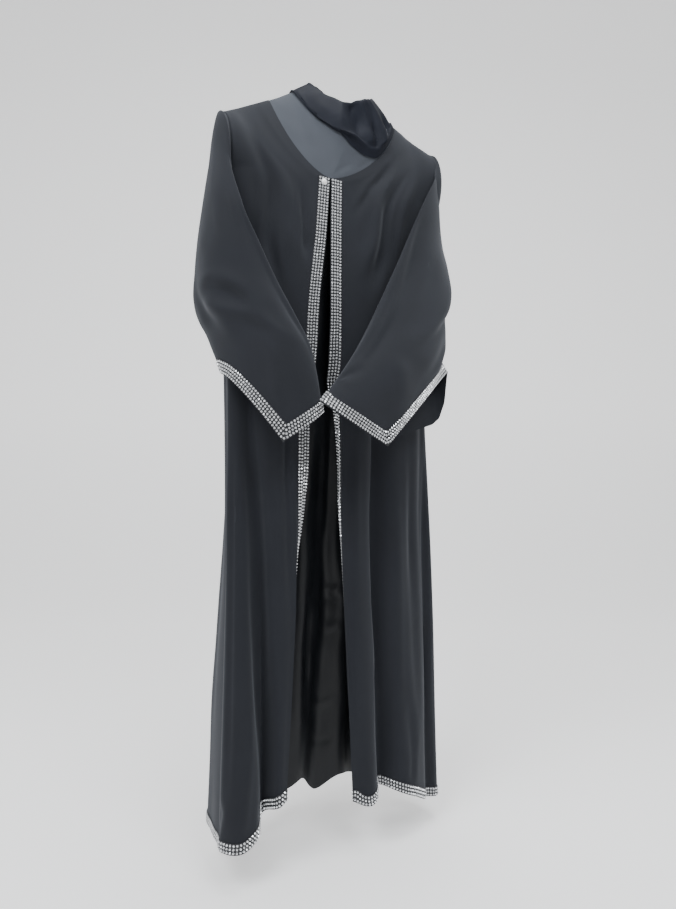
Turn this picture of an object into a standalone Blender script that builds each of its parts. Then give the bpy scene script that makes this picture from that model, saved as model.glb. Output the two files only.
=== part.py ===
"""Abaya cloak: an open-front, full-length robe, filled out as if worn, with its sleeves brought forward.

The wearer's left is +X, the front faces -Y and up is +Z. The origin is the middle of the neck, where the
robe is held. Each cut piece of cloth is one thin wall between an outer and an inner grid of points.
"""
import math
from collections import namedtuple

import bpy
import numpy as np
from mathutils import Vector

# Cloth and trim, in metres
CLOTH = 0.002
LINING = 0.0015
SEAM = 0.0003
TRIM_WIDTH = 0.026
TRIM_THICKNESS = 0.0012
CUFF_TRIM = 0.024
HEM_TRIM = 0.020
HEM_REST = 0.0007
BUTTON_RADIUS = 0.0055
BUTTON_HEIGHT = 0.0045

# Shoulders and neck
UNDERARM_Z = -0.275
NECK_FRONT_Z = -0.138
RIGHT_TIP = (-0.251, -0.036)
LEFT_TIP = (0.250, -0.002)
RIGHT_NECK = (-0.150, 0.018)
LEFT_NECK = (0.155, 0.041)
RIGHT_NECK_CURVE = 1.25
LEFT_NECK_CURVE = 1.40
BACK_NECK_Y = 0.066
BACK_NECK_DROP = 0.030
BACK_NECK_CURVE = 0.7
ARMHOLE_FRONT = 0.048
ARMHOLE_BACK = 0.046
ARMHOLE_RISE = 1.7

# How round the rows of the fronts and of the back are, seen from above; lower is squarer
FRONT_CURVE = 0.85
BACK_CURVE = 0.8
SHOULDER_BLEND = 5

# Grids of the panels
UPPER_ROWS = 8
NECK_ROW = 3
SKIRT_ROWS = 13
FRONT_COLUMNS = 14
STRIP_COLUMNS = 2
BACK_COLUMNS = 26
SHOULDER_COLUMNS = 6
SLEEVE_COLUMNS = 24
CURVE_SAMPLES = 120

Section = namedtuple("Section", "z right_x left_x side_y front_y back_y")
SECTIONS = [
    Section(-0.036, -0.251, 0.250, 0.000, -0.050, 0.058),
    Section(-0.156, -0.246, 0.247, 0.012, -0.056, 0.074),
    Section(-0.275, -0.240, 0.243, 0.018, -0.059, 0.086),
    Section(-0.600, -0.233, 0.242, 0.008, -0.060, 0.100),
    Section(-0.780, -0.235, 0.243, -0.004, -0.060, 0.106),
    Section(-1.080, -0.245, 0.249, -0.016, -0.064, 0.118),
    Section(-1.430, -0.258, 0.250, -0.026, -0.072, 0.132),
]

# The line where each front's edge strip starts, and how far the strip turns in, in degrees
Edge = namedtuple("Edge", "z right_x left_x right_turn left_turn")
EDGES = [
    Edge(-0.140, -0.0635, -0.0090, 0, 0),
    Edge(-0.250, -0.0730, -0.0120, 0, 0),
    Edge(-0.400, -0.0900, -0.0125, 0, 0),
    Edge(-0.510, -0.0970, -0.0125, 0, 25),
    Edge(-0.620, -0.1110, -0.0120, 0, 92),
    Edge(-0.720, -0.1120, -0.0120, 8, 104),
    Edge(-0.800, -0.1130, -0.0130, 38, 106),
    Edge(-0.950, -0.1140, -0.0110, 56, 114),
    Edge(-1.100, -0.1220, -0.0050, 66, 118),
    Edge(-1.430, -0.1460, 0.0090, 70, 118),
]

# Folds of the skirt: place from the side seam (0) to the front edge (1), on the back from right to left
Fold = namedtuple("Fold", "panel top_place hem_place top_out hem_out width")
FOLDS = [
    Fold("right_front", 0.10, 0.30, 0.004, 0.026, 0.22),
    Fold("right_front", 0.26, 0.76, -0.012, -0.045, 0.10),
    Fold("right_front", 0.60, 0.90, 0.003, 0.006, 0.12),
    Fold("left_front", 0.18, 0.17, -0.003, -0.014, 0.06),
    Fold("left_front", 0.45, 0.45, 0.003, 0.014, 0.16),
    Fold("left_front", 0.67, 0.67, -0.012, -0.034, 0.075),
    Fold("left_front", 0.84, 0.85, 0.003, 0.016, 0.10),
    Fold("back", 0.16, 0.14, 0.003, 0.022, 0.050),
    Fold("back", 0.27, 0.25, -0.005, -0.034, 0.045),
    Fold("back", 0.39, 0.37, 0.004, 0.020, 0.055),
    Fold("back", 0.50, 0.51, -0.006, -0.042, 0.050),
    Fold("back", 0.61, 0.64, 0.004, 0.024, 0.055),
    Fold("back", 0.73, 0.76, -0.005, -0.030, 0.045),
    Fold("back", 0.85, 0.87, 0.003, 0.018, 0.050),
]
FOLD_TOP_Z = -0.42
FOLD_LOW_Z = -1.43
FOLD_START = 0.12
FRONT_SIDE_CALM = 0.10
FRONT_EDGE_CALM = 0.12
BACK_SIDE_CALM = 0.06

# Height of the hem along each panel
HemPoint = namedtuple("HemPoint", "place z")
HEMS = {
    "right_front": [HemPoint(0.0, -1.425), HemPoint(0.30, -1.425), HemPoint(0.62, -1.405),
                    HemPoint(0.78, -1.372), HemPoint(1.0, -1.352)],
    "left_front": [HemPoint(0.0, -1.448), HemPoint(0.20, -1.440), HemPoint(0.45, -1.408),
                   HemPoint(0.67, -1.388), HemPoint(0.85, -1.402), HemPoint(1.0, -1.386)],
    "back": [HemPoint(0.0, -1.425), HemPoint(0.25, -1.418), HemPoint(0.5, -1.405),
             HemPoint(0.75, -1.425), HemPoint(1.0, -1.448)],
}

# Sleeves: how the cloth turns out of the armhole, then the four quarter points of each flattened ring,
# down to the cuff's
SLEEVE_TURN = (0.005, -0.005, 0.001)
RING_CORNER = 0.8
Ring = namedtuple("Ring", "front outer back inner")
RIGHT_RINGS = [
    Ring((-0.240, -0.096, -0.262), (-0.284, -0.034, -0.230),
         (-0.268, 0.056, -0.290), (-0.252, -0.006, -0.345)),
    Ring((-0.182, -0.118, -0.395), (-0.276, -0.080, -0.370),
         (-0.290, 0.036, -0.405), (-0.245, -0.040, -0.435)),
    Ring((-0.125, -0.134, -0.510), (-0.222, -0.142, -0.500),
         (-0.276, 0.002, -0.470), (-0.212, -0.076, -0.520)),
    Ring((-0.099, -0.134, -0.622), (-0.188, -0.152, -0.682),
         (-0.262, -0.040, -0.552), (-0.180, -0.078, -0.644)),
]
LEFT_RINGS = [
    Ring((0.188, -0.082, -0.168), (0.257, -0.034, -0.095),
         (0.258, 0.054, -0.190), (0.252, -0.022, -0.300)),
    Ring((0.134, -0.097, -0.235), (0.262, -0.042, -0.210),
         (0.266, 0.045, -0.285), (0.252, -0.028, -0.330)),
    Ring((0.046, -0.114, -0.390), (0.232, -0.096, -0.360),
         (0.264, 0.018, -0.400), (0.205, -0.066, -0.430)),
    Ring((-0.038, -0.136, -0.518), (0.130, -0.152, -0.520),
         (0.256, -0.030, -0.480), (0.110, -0.092, -0.555)),
    Ring((-0.122, -0.170, -0.608), (0.022, -0.174, -0.686),
         (0.250, -0.074, -0.540), (0.060, -0.110, -0.668)),
]

# Height of the cuff round the ring: from the front edge by the outer wall to the back edge, then inside
CuffPoint = namedtuple("CuffPoint", "place z")
RIGHT_CUFF = {
    "outer": [CuffPoint(0.0, -0.624), CuffPoint(0.5, -0.682), CuffPoint(1.0, -0.552)],
    "inner": [CuffPoint(0.0, -0.624), CuffPoint(0.5, -0.644), CuffPoint(0.85, -0.560),
              CuffPoint(1.0, -0.548)],
}
LEFT_CUFF = {
    "outer": [CuffPoint(0.0, -0.608), CuffPoint(0.5, -0.686), CuffPoint(1.0, -0.516)],
    "inner": [CuffPoint(0.0, -0.608), CuffPoint(0.5, -0.672), CuffPoint(0.90, -0.622),
              CuffPoint(1.0, -0.516)],
}

# Neck: the ring where the yoke meets the collar, and the collar's rim and lower edge
NeckPoint = namedtuple("NeckPoint", "angle x y z")
COLLAR_BASE = [
    NeckPoint(0, -0.094, 0.000, 0.050), NeckPoint(45, -0.066, -0.032, 0.002),
    NeckPoint(90, 0.000, -0.053, -0.034), NeckPoint(135, 0.088, -0.042, -0.022),
    NeckPoint(180, 0.142, 0.004, 0.050), NeckPoint(225, 0.105, 0.045, 0.052),
    NeckPoint(270, 0.022, 0.060, 0.045), NeckPoint(315, -0.058, 0.044, 0.050),
]
COLLAR_RIM = [
    NeckPoint(0, -0.062, 0.002, 0.080), NeckPoint(45, -0.036, -0.030, 0.048),
    NeckPoint(90, 0.006, -0.046, 0.034), NeckPoint(135, 0.066, -0.036, 0.058),
    NeckPoint(180, 0.104, 0.002, 0.088), NeckPoint(225, 0.084, 0.034, 0.090),
    NeckPoint(270, 0.020, 0.048, 0.084), NeckPoint(315, -0.042, 0.034, 0.082),
]
# How far the collar's soft lower edge falls over the yoke
Fall = namedtuple("Fall", "angle drop")
COLLAR_FALLS = [Fall(0, 0.006), Fall(84, 0.006), Fall(104, 0.028), Fall(128, 0.046), Fall(150, 0.042),
                Fall(180, 0.010), Fall(270, 0.008), Fall(360, 0.006)]
COLLAR_ROWS = 4
CLOSURE_ANGLE = 84
COLLAR_REST = 0.0012
YOKE_SHARES = (0.0, 0.34, 0.67, 1.0)
NECK_MIDDLE = (0.02, 0.0, -0.2)
COLLAR_MIDDLE = (0.02, 0.0, -0.05)

# Satin lining that hangs behind the front opening; its top follows the neckline
LINING_REST = 0.0009
LINING_TOP_Z = -0.262
LINING_TOP_RISE = 0.100
LINING_TOP_MIDDLE = 0.47
LINING_TOP_HALF = 0.36
LINING_CURVE = 0.7
LINING_FOLD_WIDTH = 0.045
LINING_FOLD_GROWTH = 0.8
LINING_COLUMNS = 14
LINING_ROWS = 13
LiningRow = namedtuple("LiningRow", "z centre_y")
LINING_DEPTH = [
    LiningRow(-0.150, -0.040), LiningRow(-0.300, -0.032), LiningRow(-0.600, -0.018),
    LiningRow(-0.900, 0.008), LiningRow(-1.380, 0.030),
]
LINING_HEM = [HemPoint(0.0, -1.390), HemPoint(0.30, -1.380), HemPoint(0.38, -1.364),
              HemPoint(0.47, -1.404), HemPoint(0.56, -1.372), HemPoint(0.70, -1.390), HemPoint(1.0, -1.390)]
LiningFold = namedtuple("LiningFold", "place depth")
LINING_FOLDS = [LiningFold(0.20, 0.014), LiningFold(0.36, -0.012), LiningFold(0.46, 0.012),
                LiningFold(0.56, -0.016), LiningFold(0.70, 0.014), LiningFold(0.84, -0.012)]


def smooth(keys, values, at):
    """Values along a table by a monotone cubic through its rows; keys rise."""
    keys = np.asarray(keys, float)
    values = np.asarray(values, float)
    at = np.clip(np.asarray(at, float), keys[0], keys[-1])
    step = np.diff(keys)
    slope = np.diff(values) / step
    tangent = np.zeros_like(values)
    tangent[0] = slope[0]
    tangent[-1] = slope[-1]
    for i in range(1, len(keys) - 1):
        if slope[i - 1] * slope[i] > 0:
            a = 2 * step[i] + step[i - 1]
            b = step[i] + 2 * step[i - 1]
            tangent[i] = (a + b) / (a / slope[i - 1] + b / slope[i])
    i = np.clip(np.searchsorted(keys, at, side="right") - 1, 0, len(step) - 1)
    t = (at - keys[i]) / step[i]
    h = step[i]
    return ((1 + 2 * t) * (1 - t) ** 2 * values[i] + t * (1 - t) ** 2 * h * tangent[i]
            + t * t * (3 - 2 * t) * values[i + 1] + t * t * (t - 1) * h * tangent[i + 1])


def column(table, key, name, at):
    """One named column of a table at a key, for tables whose keys fall or rise."""
    rows = sorted(table, key=lambda row: getattr(row, key))
    return smooth([getattr(row, key) for row in rows], [getattr(row, name) for row in rows], at)


def section(name, z):
    return float(column(SECTIONS, "z", name, z))


def edge(name, z):
    return float(column(EDGES, "z", name, z))


def unit(v):
    v = np.asarray(v, float)
    return v / np.maximum(np.linalg.norm(v, axis=-1, keepdims=True), 1e-12)


def arc_places(points, places):
    """Points at fractions of a polyline's length."""
    length = np.r_[0, np.cumsum(np.linalg.norm(np.diff(points, axis=0), axis=1))]
    at = np.asarray(places) * length[-1]
    return np.stack([np.interp(at, length, points[:, i]) for i in range(3)], axis=1)


def side_values(side):
    """Sign of X, shoulder tip and neck point of one side."""
    return (-1, RIGHT_TIP, RIGHT_NECK) if side == "right" else (1, LEFT_TIP, LEFT_NECK)


def armhole_point(side, angle):
    """A point of the armhole: angle 0 is its front, 90 degrees the shoulder tip, 180 its back."""
    tip = side_values(side)[1]
    half = (tip[1] - UNDERARM_Z) / 2
    z = UNDERARM_Z + half + half * math.sin(angle)
    up = (z - UNDERARM_Z) / (2 * half)
    low_x = section(side + "_x", UNDERARM_Z)
    x = low_x + (tip[0] - low_x) * up
    middle = section("side_y", UNDERARM_Z) * (1 - up)
    reach = ARMHOLE_FRONT if math.cos(angle) > 0 else -ARMHOLE_BACK
    out = abs(math.cos(angle)) ** (ARMHOLE_RISE if math.sin(angle) > 0 else 1)
    return np.array([x, middle - reach * out, z])


def row_angle(k):
    """Armhole angle in front of upper row k, from the underarm (0) to the shoulder tip."""
    return -math.pi / 2 + math.pi * k / UPPER_ROWS


def fold_shift(panel, places, down):
    """How far the folds push a row of a panel out or in, for each place along it."""
    shift = np.zeros_like(places)
    for fold in FOLDS:
        if fold.panel != panel:
            continue
        place = fold.top_place + (fold.hem_place - fold.top_place) * down
        out = (fold.top_out + (fold.hem_out - fold.top_out) * down) * min(1.0, down / FOLD_START)
        shift += out * np.exp(-((places - place) / fold.width) ** 2)
    return shift


def fold_down(z):
    """Share of the way down the skirt, from where the folds start to the hem."""
    return float(np.clip((FOLD_TOP_Z - z) / (FOLD_TOP_Z - FOLD_LOW_Z), 0, 1))


def pushed(points, shift, sign):
    """A row moved along its own outward direction in plan."""
    along = np.gradient(points[:, :2], axis=0)
    out = unit(np.stack([along[:, 1], -along[:, 0]], axis=1)) * sign
    moved = points.copy()
    moved[:, :2] += out * shift[:, None]
    return moved


def hem_line(panel, places):
    return column(HEMS[panel], "place", "z", places)


def side_seam(side, z):
    return np.array([section(side + "_x", z), section("side_y", z), z])


def front_row(side, outer, start, turn, down):
    """One row of a front, from its outer end to the start of its edge strip, then along the strip."""
    panel = side + "_front"
    sign = side_values(side)[0]
    angle = np.linspace(0, math.pi / 2, CURVE_SAMPLES)
    across = 1 - np.cos(angle)
    base = np.stack([outer[0] + (start[0] - outer[0]) * across,
                     outer[1] + (start[1] - outer[1]) * np.sin(angle) ** FRONT_CURVE,
                     outer[2] + (start[2] - outer[2]) * across], axis=1)
    places = np.linspace(0, 1, FRONT_COLUMNS + 1)
    main = arc_places(base, places)
    if down > 0:
        calm = np.clip(places / FRONT_SIDE_CALM, 0, 1) * np.clip((1.02 - places) / FRONT_EDGE_CALM, 0, 1)
        main = pushed(main, fold_shift(panel, places, down) * calm, -sign)
    strip = []
    for i in range(1, STRIP_COLUMNS + 1):
        bend = math.radians(turn) * min(1.0, 0.5 + 0.5 * i)
        step = TRIM_WIDTH / STRIP_COLUMNS
        last = strip[-1] if strip else main[-1]
        strip.append(last + step * np.array([-sign * math.cos(bend), math.sin(bend), 0]))
    return np.vstack([main, strip])


def front_neckline(side, k):
    """Neckline point of upper row k of a front."""
    sign, _, neck = side_values(side)
    low_x = edge(side + "_x", NECK_FRONT_Z) - sign * TRIM_WIDTH
    low_y = section("front_y", NECK_FRONT_Z)
    turn = math.pi / 2 * (UPPER_ROWS - k) / (UPPER_ROWS - NECK_ROW)
    curve = RIGHT_NECK_CURVE if side == "right" else LEFT_NECK_CURVE
    return np.array([low_x + (neck[0] - low_x) * math.cos(turn) ** curve,
                     low_y * math.sin(turn) ** 0.8,
                     neck[1] + (NECK_FRONT_Z - neck[1]) * math.sin(turn) ** curve])


def front_grid(side):
    """Outer points of a front: rows from the hem up to the shoulder, columns from the side to the edge."""
    panel = side + "_front"
    rows = []
    places = np.r_[np.linspace(0, 1, FRONT_COLUMNS + 1), [1.0] * STRIP_COLUMNS]
    hem = hem_line(panel, places)
    for level in np.linspace(1, 0, SKIRT_ROWS)[:-1]:
        side_z = UNDERARM_Z + (hem[0] - UNDERARM_Z) * level
        z = UNDERARM_Z + (hem[-1] - UNDERARM_Z) * level
        outer = side_seam(side, side_z)
        start = np.array([edge(side + "_x", z), section("front_y", z), z])
        row = front_row(side, outer, start, edge(side + "_turn", z), fold_down(z))
        row[:, 2] = UNDERARM_Z + (hem - UNDERARM_Z) * level
        rows.append(row)
        if level == 1:
            rows.append(row.copy())
    for k in range(UPPER_ROWS + 1):
        outer = armhole_point(side, row_angle(k))
        if k <= NECK_ROW:
            z = UNDERARM_Z + (NECK_FRONT_Z - UNDERARM_Z) * k / NECK_ROW
            start = np.array([edge(side + "_x", z), section("front_y", z), z])
            rows.append(front_row(side, outer, start, 0, 0))
            continue
        end = front_neckline(side, k)
        start = end + TRIM_WIDTH * unit(outer - end)
        row = front_row(side, outer, start, 0, 0)
        for i in range(1, STRIP_COLUMNS + 1):
            row[FRONT_COLUMNS + i] = start + (end - start) * i / STRIP_COLUMNS
        rows.append(row)
    grid = np.array(rows)
    grid[1] = grid[0] + HEM_TRIM * unit(grid[2] - grid[0])
    grid[:, :, 1] -= SEAM / 2
    return grid


def back_top():
    """Top row of the back: right shoulder seam, back neckline, left shoulder seam."""
    right = [np.array([RIGHT_TIP[0], 0, RIGHT_TIP[1]]), np.array([RIGHT_NECK[0], 0, RIGHT_NECK[1]])]
    left = [np.array([LEFT_NECK[0], 0, LEFT_NECK[1]]), np.array([LEFT_TIP[0], 0, LEFT_TIP[1]])]
    points = []
    for j in range(BACK_COLUMNS + 1):
        if j <= SHOULDER_COLUMNS:
            share = j / SHOULDER_COLUMNS
            points.append(right[0] + (right[1] - right[0]) * share)
        elif j >= BACK_COLUMNS - SHOULDER_COLUMNS:
            share = (j - BACK_COLUMNS + SHOULDER_COLUMNS) / SHOULDER_COLUMNS
            points.append(left[0] + (left[1] - left[0]) * share)
        else:
            share = (j - SHOULDER_COLUMNS) / (BACK_COLUMNS - 2 * SHOULDER_COLUMNS)
            turn = math.pi * share
            point = right[1] + (left[0] - right[1]) * (1 - math.cos(turn)) / 2
            point[1] = BACK_NECK_Y * math.sin(turn) ** BACK_NECK_CURVE
            point[2] -= BACK_NECK_DROP * math.sin(turn)
            points.append(point)
    return np.array(points)


def back_row(right, left, back_y):
    """One row of the back between its two outer ends."""
    angle = np.linspace(0, math.pi, CURVE_SAMPLES)
    across = (1 - np.cos(angle)) / 2
    ends_y = right[1] + (left[1] - right[1]) * across
    base = np.stack([right[0] + (left[0] - right[0]) * across,
                     ends_y + (back_y - ends_y) * np.sin(angle) ** BACK_CURVE,
                     right[2] + (left[2] - right[2]) * across], axis=1)
    return arc_places(base, np.linspace(0, 1, BACK_COLUMNS + 1))


def back_grid():
    """Outer points of the back: rows from the hem up to the shoulders, columns from right to left."""
    rows = []
    places = np.linspace(0, 1, BACK_COLUMNS + 1)
    hem = hem_line("back", places)
    for level in np.linspace(1, 0, SKIRT_ROWS)[:-1]:
        right = side_seam("right", UNDERARM_Z + (hem[0] - UNDERARM_Z) * level)
        left = side_seam("left", UNDERARM_Z + (hem[-1] - UNDERARM_Z) * level)
        z = (right[2] + left[2]) / 2
        row = back_row(right, left, section("back_y", z))
        calm = np.clip(np.minimum(places, 1 - places) / BACK_SIDE_CALM, 0, 1)
        row = pushed(row, fold_shift("back", places, fold_down(z)) * calm, -1)
        row[:, 2] = UNDERARM_Z + (hem - UNDERARM_Z) * level
        rows.append(row)
        if level == 1:
            rows.append(row.copy())
    top = back_top()
    for k in range(UPPER_ROWS + 1):
        right = armhole_point("right", math.pi - row_angle(k))
        left = armhole_point("left", math.pi - row_angle(k))
        up = (right[2] - UNDERARM_Z) / (RIGHT_TIP[1] - UNDERARM_Z)
        z = UNDERARM_Z + (top[:, 2] - UNDERARM_Z) * up
        row = back_row(right, left, section("back_y", right[2]))
        blend = up ** SHOULDER_BLEND
        row = row * (1 - blend) + top * blend
        row[:, 2] = z
        row[0] = right
        row[-1] = left
        rows.append(row)
    grid = np.array(rows)
    grid[1] = grid[0] + HEM_TRIM * unit(grid[2] - grid[0])
    grid[:, :, 1] += SEAM / 2
    return grid


def grid_normals(grid, closed=False):
    """Unit normals of a grid whose columns run one way round; the caller fixes their side."""
    if closed:
        along = (np.roll(grid, -1, axis=1) - np.roll(grid, 1, axis=1)) / 2
    else:
        along = np.gradient(grid, axis=1)
    up = np.gradient(grid, axis=0)
    return unit(np.cross(along, up))


def facing(normals, outward):
    """Normals turned to the side of an outward vector field."""
    side = np.sign(np.sum(normals * outward, axis=2, keepdims=True))
    side[side == 0] = 1
    return normals * side


def shoulder_normal(side):
    """Upward normal shared by front and back along a shoulder seam."""
    sign, tip, neck = side_values(side)
    run = np.array([neck[0] - tip[0], 0, neck[1] - tip[1]])
    return unit(np.array([-run[2], 0, run[0]]) * -sign)


def front_normals(side, grid):
    """Outward normals of a front, level across its side and along its shoulder."""
    sign = side_values(side)[0]
    normals = grid_normals(grid) * -sign
    normals[:, 0] = (sign, 0, 0)
    normals[-1] = shoulder_normal(side)
    return normals


def back_normals(grid):
    """Outward normals of the back, level across its sides and along its shoulders."""
    normals = grid_normals(grid)
    outward = np.zeros_like(grid)
    outward[:, :, 1] = 1
    normals = facing(normals, outward)
    normals[:, 0] = (-1, 0, 0)
    normals[:, -1] = (1, 0, 0)
    normals[-1, :SHOULDER_COLUMNS + 1] = shoulder_normal("right")
    normals[-1, -SHOULDER_COLUMNS - 1:] = shoulder_normal("left")
    return normals


def material(name, colour, roughness, metallic=0.0):
    made = bpy.data.materials.new(name)
    made.use_nodes = True
    shader = made.node_tree.nodes["Principled BSDF"]
    shader.inputs["Base Color"].default_value = (*colour, 1.0)
    shader.inputs["Roughness"].default_value = roughness
    shader.inputs["Metallic"].default_value = metallic
    return made


def wall(name, outer, inner, look, parts, closed=False):
    """A closed solid between two grids of points."""
    rows, columns = outer.shape[:2]
    count = rows * columns
    faces = []
    spans = columns if closed else columns - 1
    for i in range(rows - 1):
        for j in range(spans):
            a = i * columns + j
            b = i * columns + (j + 1) % columns
            c = b + columns
            d = a + columns
            for tri in ((a, b, c), (a, c, d)):
                faces.append(tri)
                faces.append(tuple(count + p for p in tri[::-1]))
    rim = []
    bottom = list(range(columns))
    top = [(rows - 1) * columns + j for j in range(columns)]
    if closed:
        rim.append(bottom + bottom[:1])
        rim.append((top + top[:1])[::-1])
    else:
        right = [i * columns + columns - 1 for i in range(rows)]
        left = [i * columns for i in range(rows)]
        rim.append(bottom + right[1:] + top[::-1][1:] + left[::-1][1:])
    for line in rim:
        for a, b in zip(line[:-1], line[1:]):
            faces.append((b, a, count + a, count + b))
    points = np.vstack([outer.reshape(-1, 3), inner.reshape(-1, 3)])
    mesh = bpy.data.meshes.new(name)
    mesh.from_pydata(points.tolist(), [], faces)
    mesh.update()
    made = bpy.data.objects.new(name, mesh)
    mesh.materials.append(look)
    turn_out(made)
    mesh.shade_smooth()
    mesh.set_sharp_from_angle(angle=math.radians(50))
    parts.objects.link(made)
    return made


def turn_out(made):
    """Faces turned outwards, told by the sign of the mesh's volume."""
    mesh = made.data
    mesh.calc_loop_triangles()
    points = np.array([v.co for v in mesh.vertices])
    tris = np.array([t.vertices for t in mesh.loop_triangles])
    a, b, c = points[tris[:, 0]], points[tris[:, 1]], points[tris[:, 2]]
    if np.sum(a * np.cross(b, c)) < 0:
        mesh.flip_normals()


def layer(grid, normals, low, high):
    """Outer and inner points of something that lies on a panel, between two heights above it."""
    return grid + normals * high, grid + normals * low


def sleeve_ring(ring, angles):
    """Points of a flattened ring: angle 0 is its front edge, 90 degrees the middle of its outer wall."""
    front, outer, back, inner = (np.array(p) for p in ring)
    middle = (outer + inner) / 2
    lift = (outer - inner) / 2
    share = ((1 - np.cos(angles)) / 2)[:, None]
    bow = 2 * middle - (front + back) / 2
    centre = front * (1 - share) ** 2 + 2 * share * (1 - share) * bow + back * share ** 2
    rise = np.sign(np.sin(angles)) * np.abs(np.sin(angles)) ** RING_CORNER
    return centre + lift * rise[:, None]


def cuff_heights(cuff, angles):
    """Height of the cuff's edge round its ring."""
    share = (1 - np.cos(angles)) / 2
    outer = np.interp(share, [p.place for p in cuff["outer"]], [p.z for p in cuff["outer"]])
    inner = np.interp(share, [p.place for p in cuff["inner"]], [p.z for p in cuff["inner"]])
    return np.where(np.sin(angles) >= -1e-9, outer, inner)


def through(stations, at):
    """A smooth curve through rings of points, at positions counted in rings."""
    count = len(stations)
    i = min(int(at), count - 2)
    t = at - i
    p1, p2 = stations[i], stations[i + 1]
    p0 = stations[i - 1] if i > 0 else 2 * p1 - p2
    p3 = stations[i + 2] if i + 2 < count else 2 * p2 - p1
    return 0.5 * (2 * p1 + (p2 - p0) * t + (2 * p0 - 5 * p1 + 4 * p2 - p3) * t ** 2
                  + (3 * p1 - p0 - 3 * p2 + p3) * t ** 3)


def sleeve_grid(side):
    """Outer points of a sleeve: rows from the armhole to the cuff, columns round it."""
    sign = side_values(side)[0]
    rings = RIGHT_RINGS if side == "right" else LEFT_RINGS
    cuff = RIGHT_CUFF if side == "right" else LEFT_CUFF
    angles = np.linspace(0, 2 * math.pi, SLEEVE_COLUMNS, endpoint=False)
    hole = np.array([armhole_point(side, a) for a in angles])
    hole[:, 0] += sign * SEAM
    turned = hole + np.array([sign, 1, 1]) * SLEEVE_TURN
    stations = [hole, turned] + [sleeve_ring(ring, angles) for ring in rings]
    stations[-1][:, 2] = cuff_heights(cuff, angles)
    places = np.linspace(0, len(stations) - 1, 2 * len(stations) - 1)
    rows = [through(stations, at) for at in places]
    above = rows[-1] + CUFF_TRIM * unit(rows[-2] - rows[-1])
    rows.insert(-1, above)
    return np.array(rows)


def sleeve_normals(grid):
    """Outward normals of a sleeve, level with the armhole along its seam."""
    centre = grid.mean(axis=1, keepdims=True)
    normals = grid_normals(grid, closed=True)
    if np.sum(normals * (grid - centre)) < 0:
        normals = -normals
    hole = grid[0] - grid[0].mean(axis=0)
    hole[:, 0] = 0
    normals[0] = unit(hole)
    return normals


def neck_ring(table, angles):
    """A closed smooth ring through a table of points round the neck, at angles in degrees."""
    turned = [row._replace(angle=row.angle - 360) for row in table[-2:]]
    turned += list(table) + [row._replace(angle=row.angle + 360) for row in table[:2]]
    keys = [row.angle for row in turned]
    return np.stack([smooth(keys, [getattr(row, axis) for row in turned], angles) for axis in "xyz"], axis=1)


def body_neckline(grids, normals):
    """Neckline of the sewn body with its normals, from the right of the opening round to the left."""
    rows = slice(-(UPPER_ROWS - NECK_ROW) - 1, None)
    top = slice(SHOULDER_COLUMNS + 1, BACK_COLUMNS - SHOULDER_COLUMNS)
    rings = []
    for grid in (grids, normals):
        right = grid["right"][rows, -1]
        left = grid["left"][rows, -1]
        rings.append(np.vstack([right, grid["back"][-1, top], left[::-1]]))
    return rings


def panels():
    """Grids and normals of the two fronts and the back."""
    grids = {side: front_grid(side) for side in ("right", "left")}
    grids["back"] = back_grid()
    normals = {side: front_normals(side, grids[side]) for side in ("right", "left")}
    normals["back"] = back_normals(grids["back"])
    return grids, normals


def build_body(parts, looks, grids, normals):
    for side in ("right", "left"):
        wall(side + "_front", grids[side], grids[side] - normals[side] * CLOTH, looks["crepe"], parts)
    wall("back", grids["back"], grids["back"] - normals["back"] * CLOTH, looks["crepe"], parts)


def build_sleeve(parts, looks, side):
    grid = sleeve_grid(side)
    normals = sleeve_normals(grid)
    wall(side + "_sleeve", grid, grid - normals * CLOTH, looks["crepe"], parts, closed=True)
    outer, inner = layer(grid[-2:], normals[-2:], SEAM, SEAM + TRIM_THICKNESS)
    wall(side + "_cuff_trim", outer, inner, looks["trim"], parts, closed=True)


def build_trims(parts, looks, grids, normals):
    for side in ("right", "left"):
        rows = slice(0, SKIRT_ROWS + 1 + NECK_ROW)
        grid = grids[side][rows, FRONT_COLUMNS:]
        outer, inner = layer(grid, normals[side][rows, FRONT_COLUMNS:], SEAM, SEAM + TRIM_THICKNESS)
        wall(side + "_front_trim", outer, inner, looks["trim"], parts)
        grid = grids[side][:2, :FRONT_COLUMNS]
        outer, inner = layer(grid, normals[side][:2, :FRONT_COLUMNS], HEM_REST, HEM_REST + TRIM_THICKNESS)
        wall(side + "_hem_trim", outer, inner, looks["trim"], parts)
    outer, inner = layer(grids["back"][:2], normals["back"][:2], HEM_REST, HEM_REST + TRIM_THICKNESS)
    wall("back_hem_trim", outer, inner, looks["trim"], parts)


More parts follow.
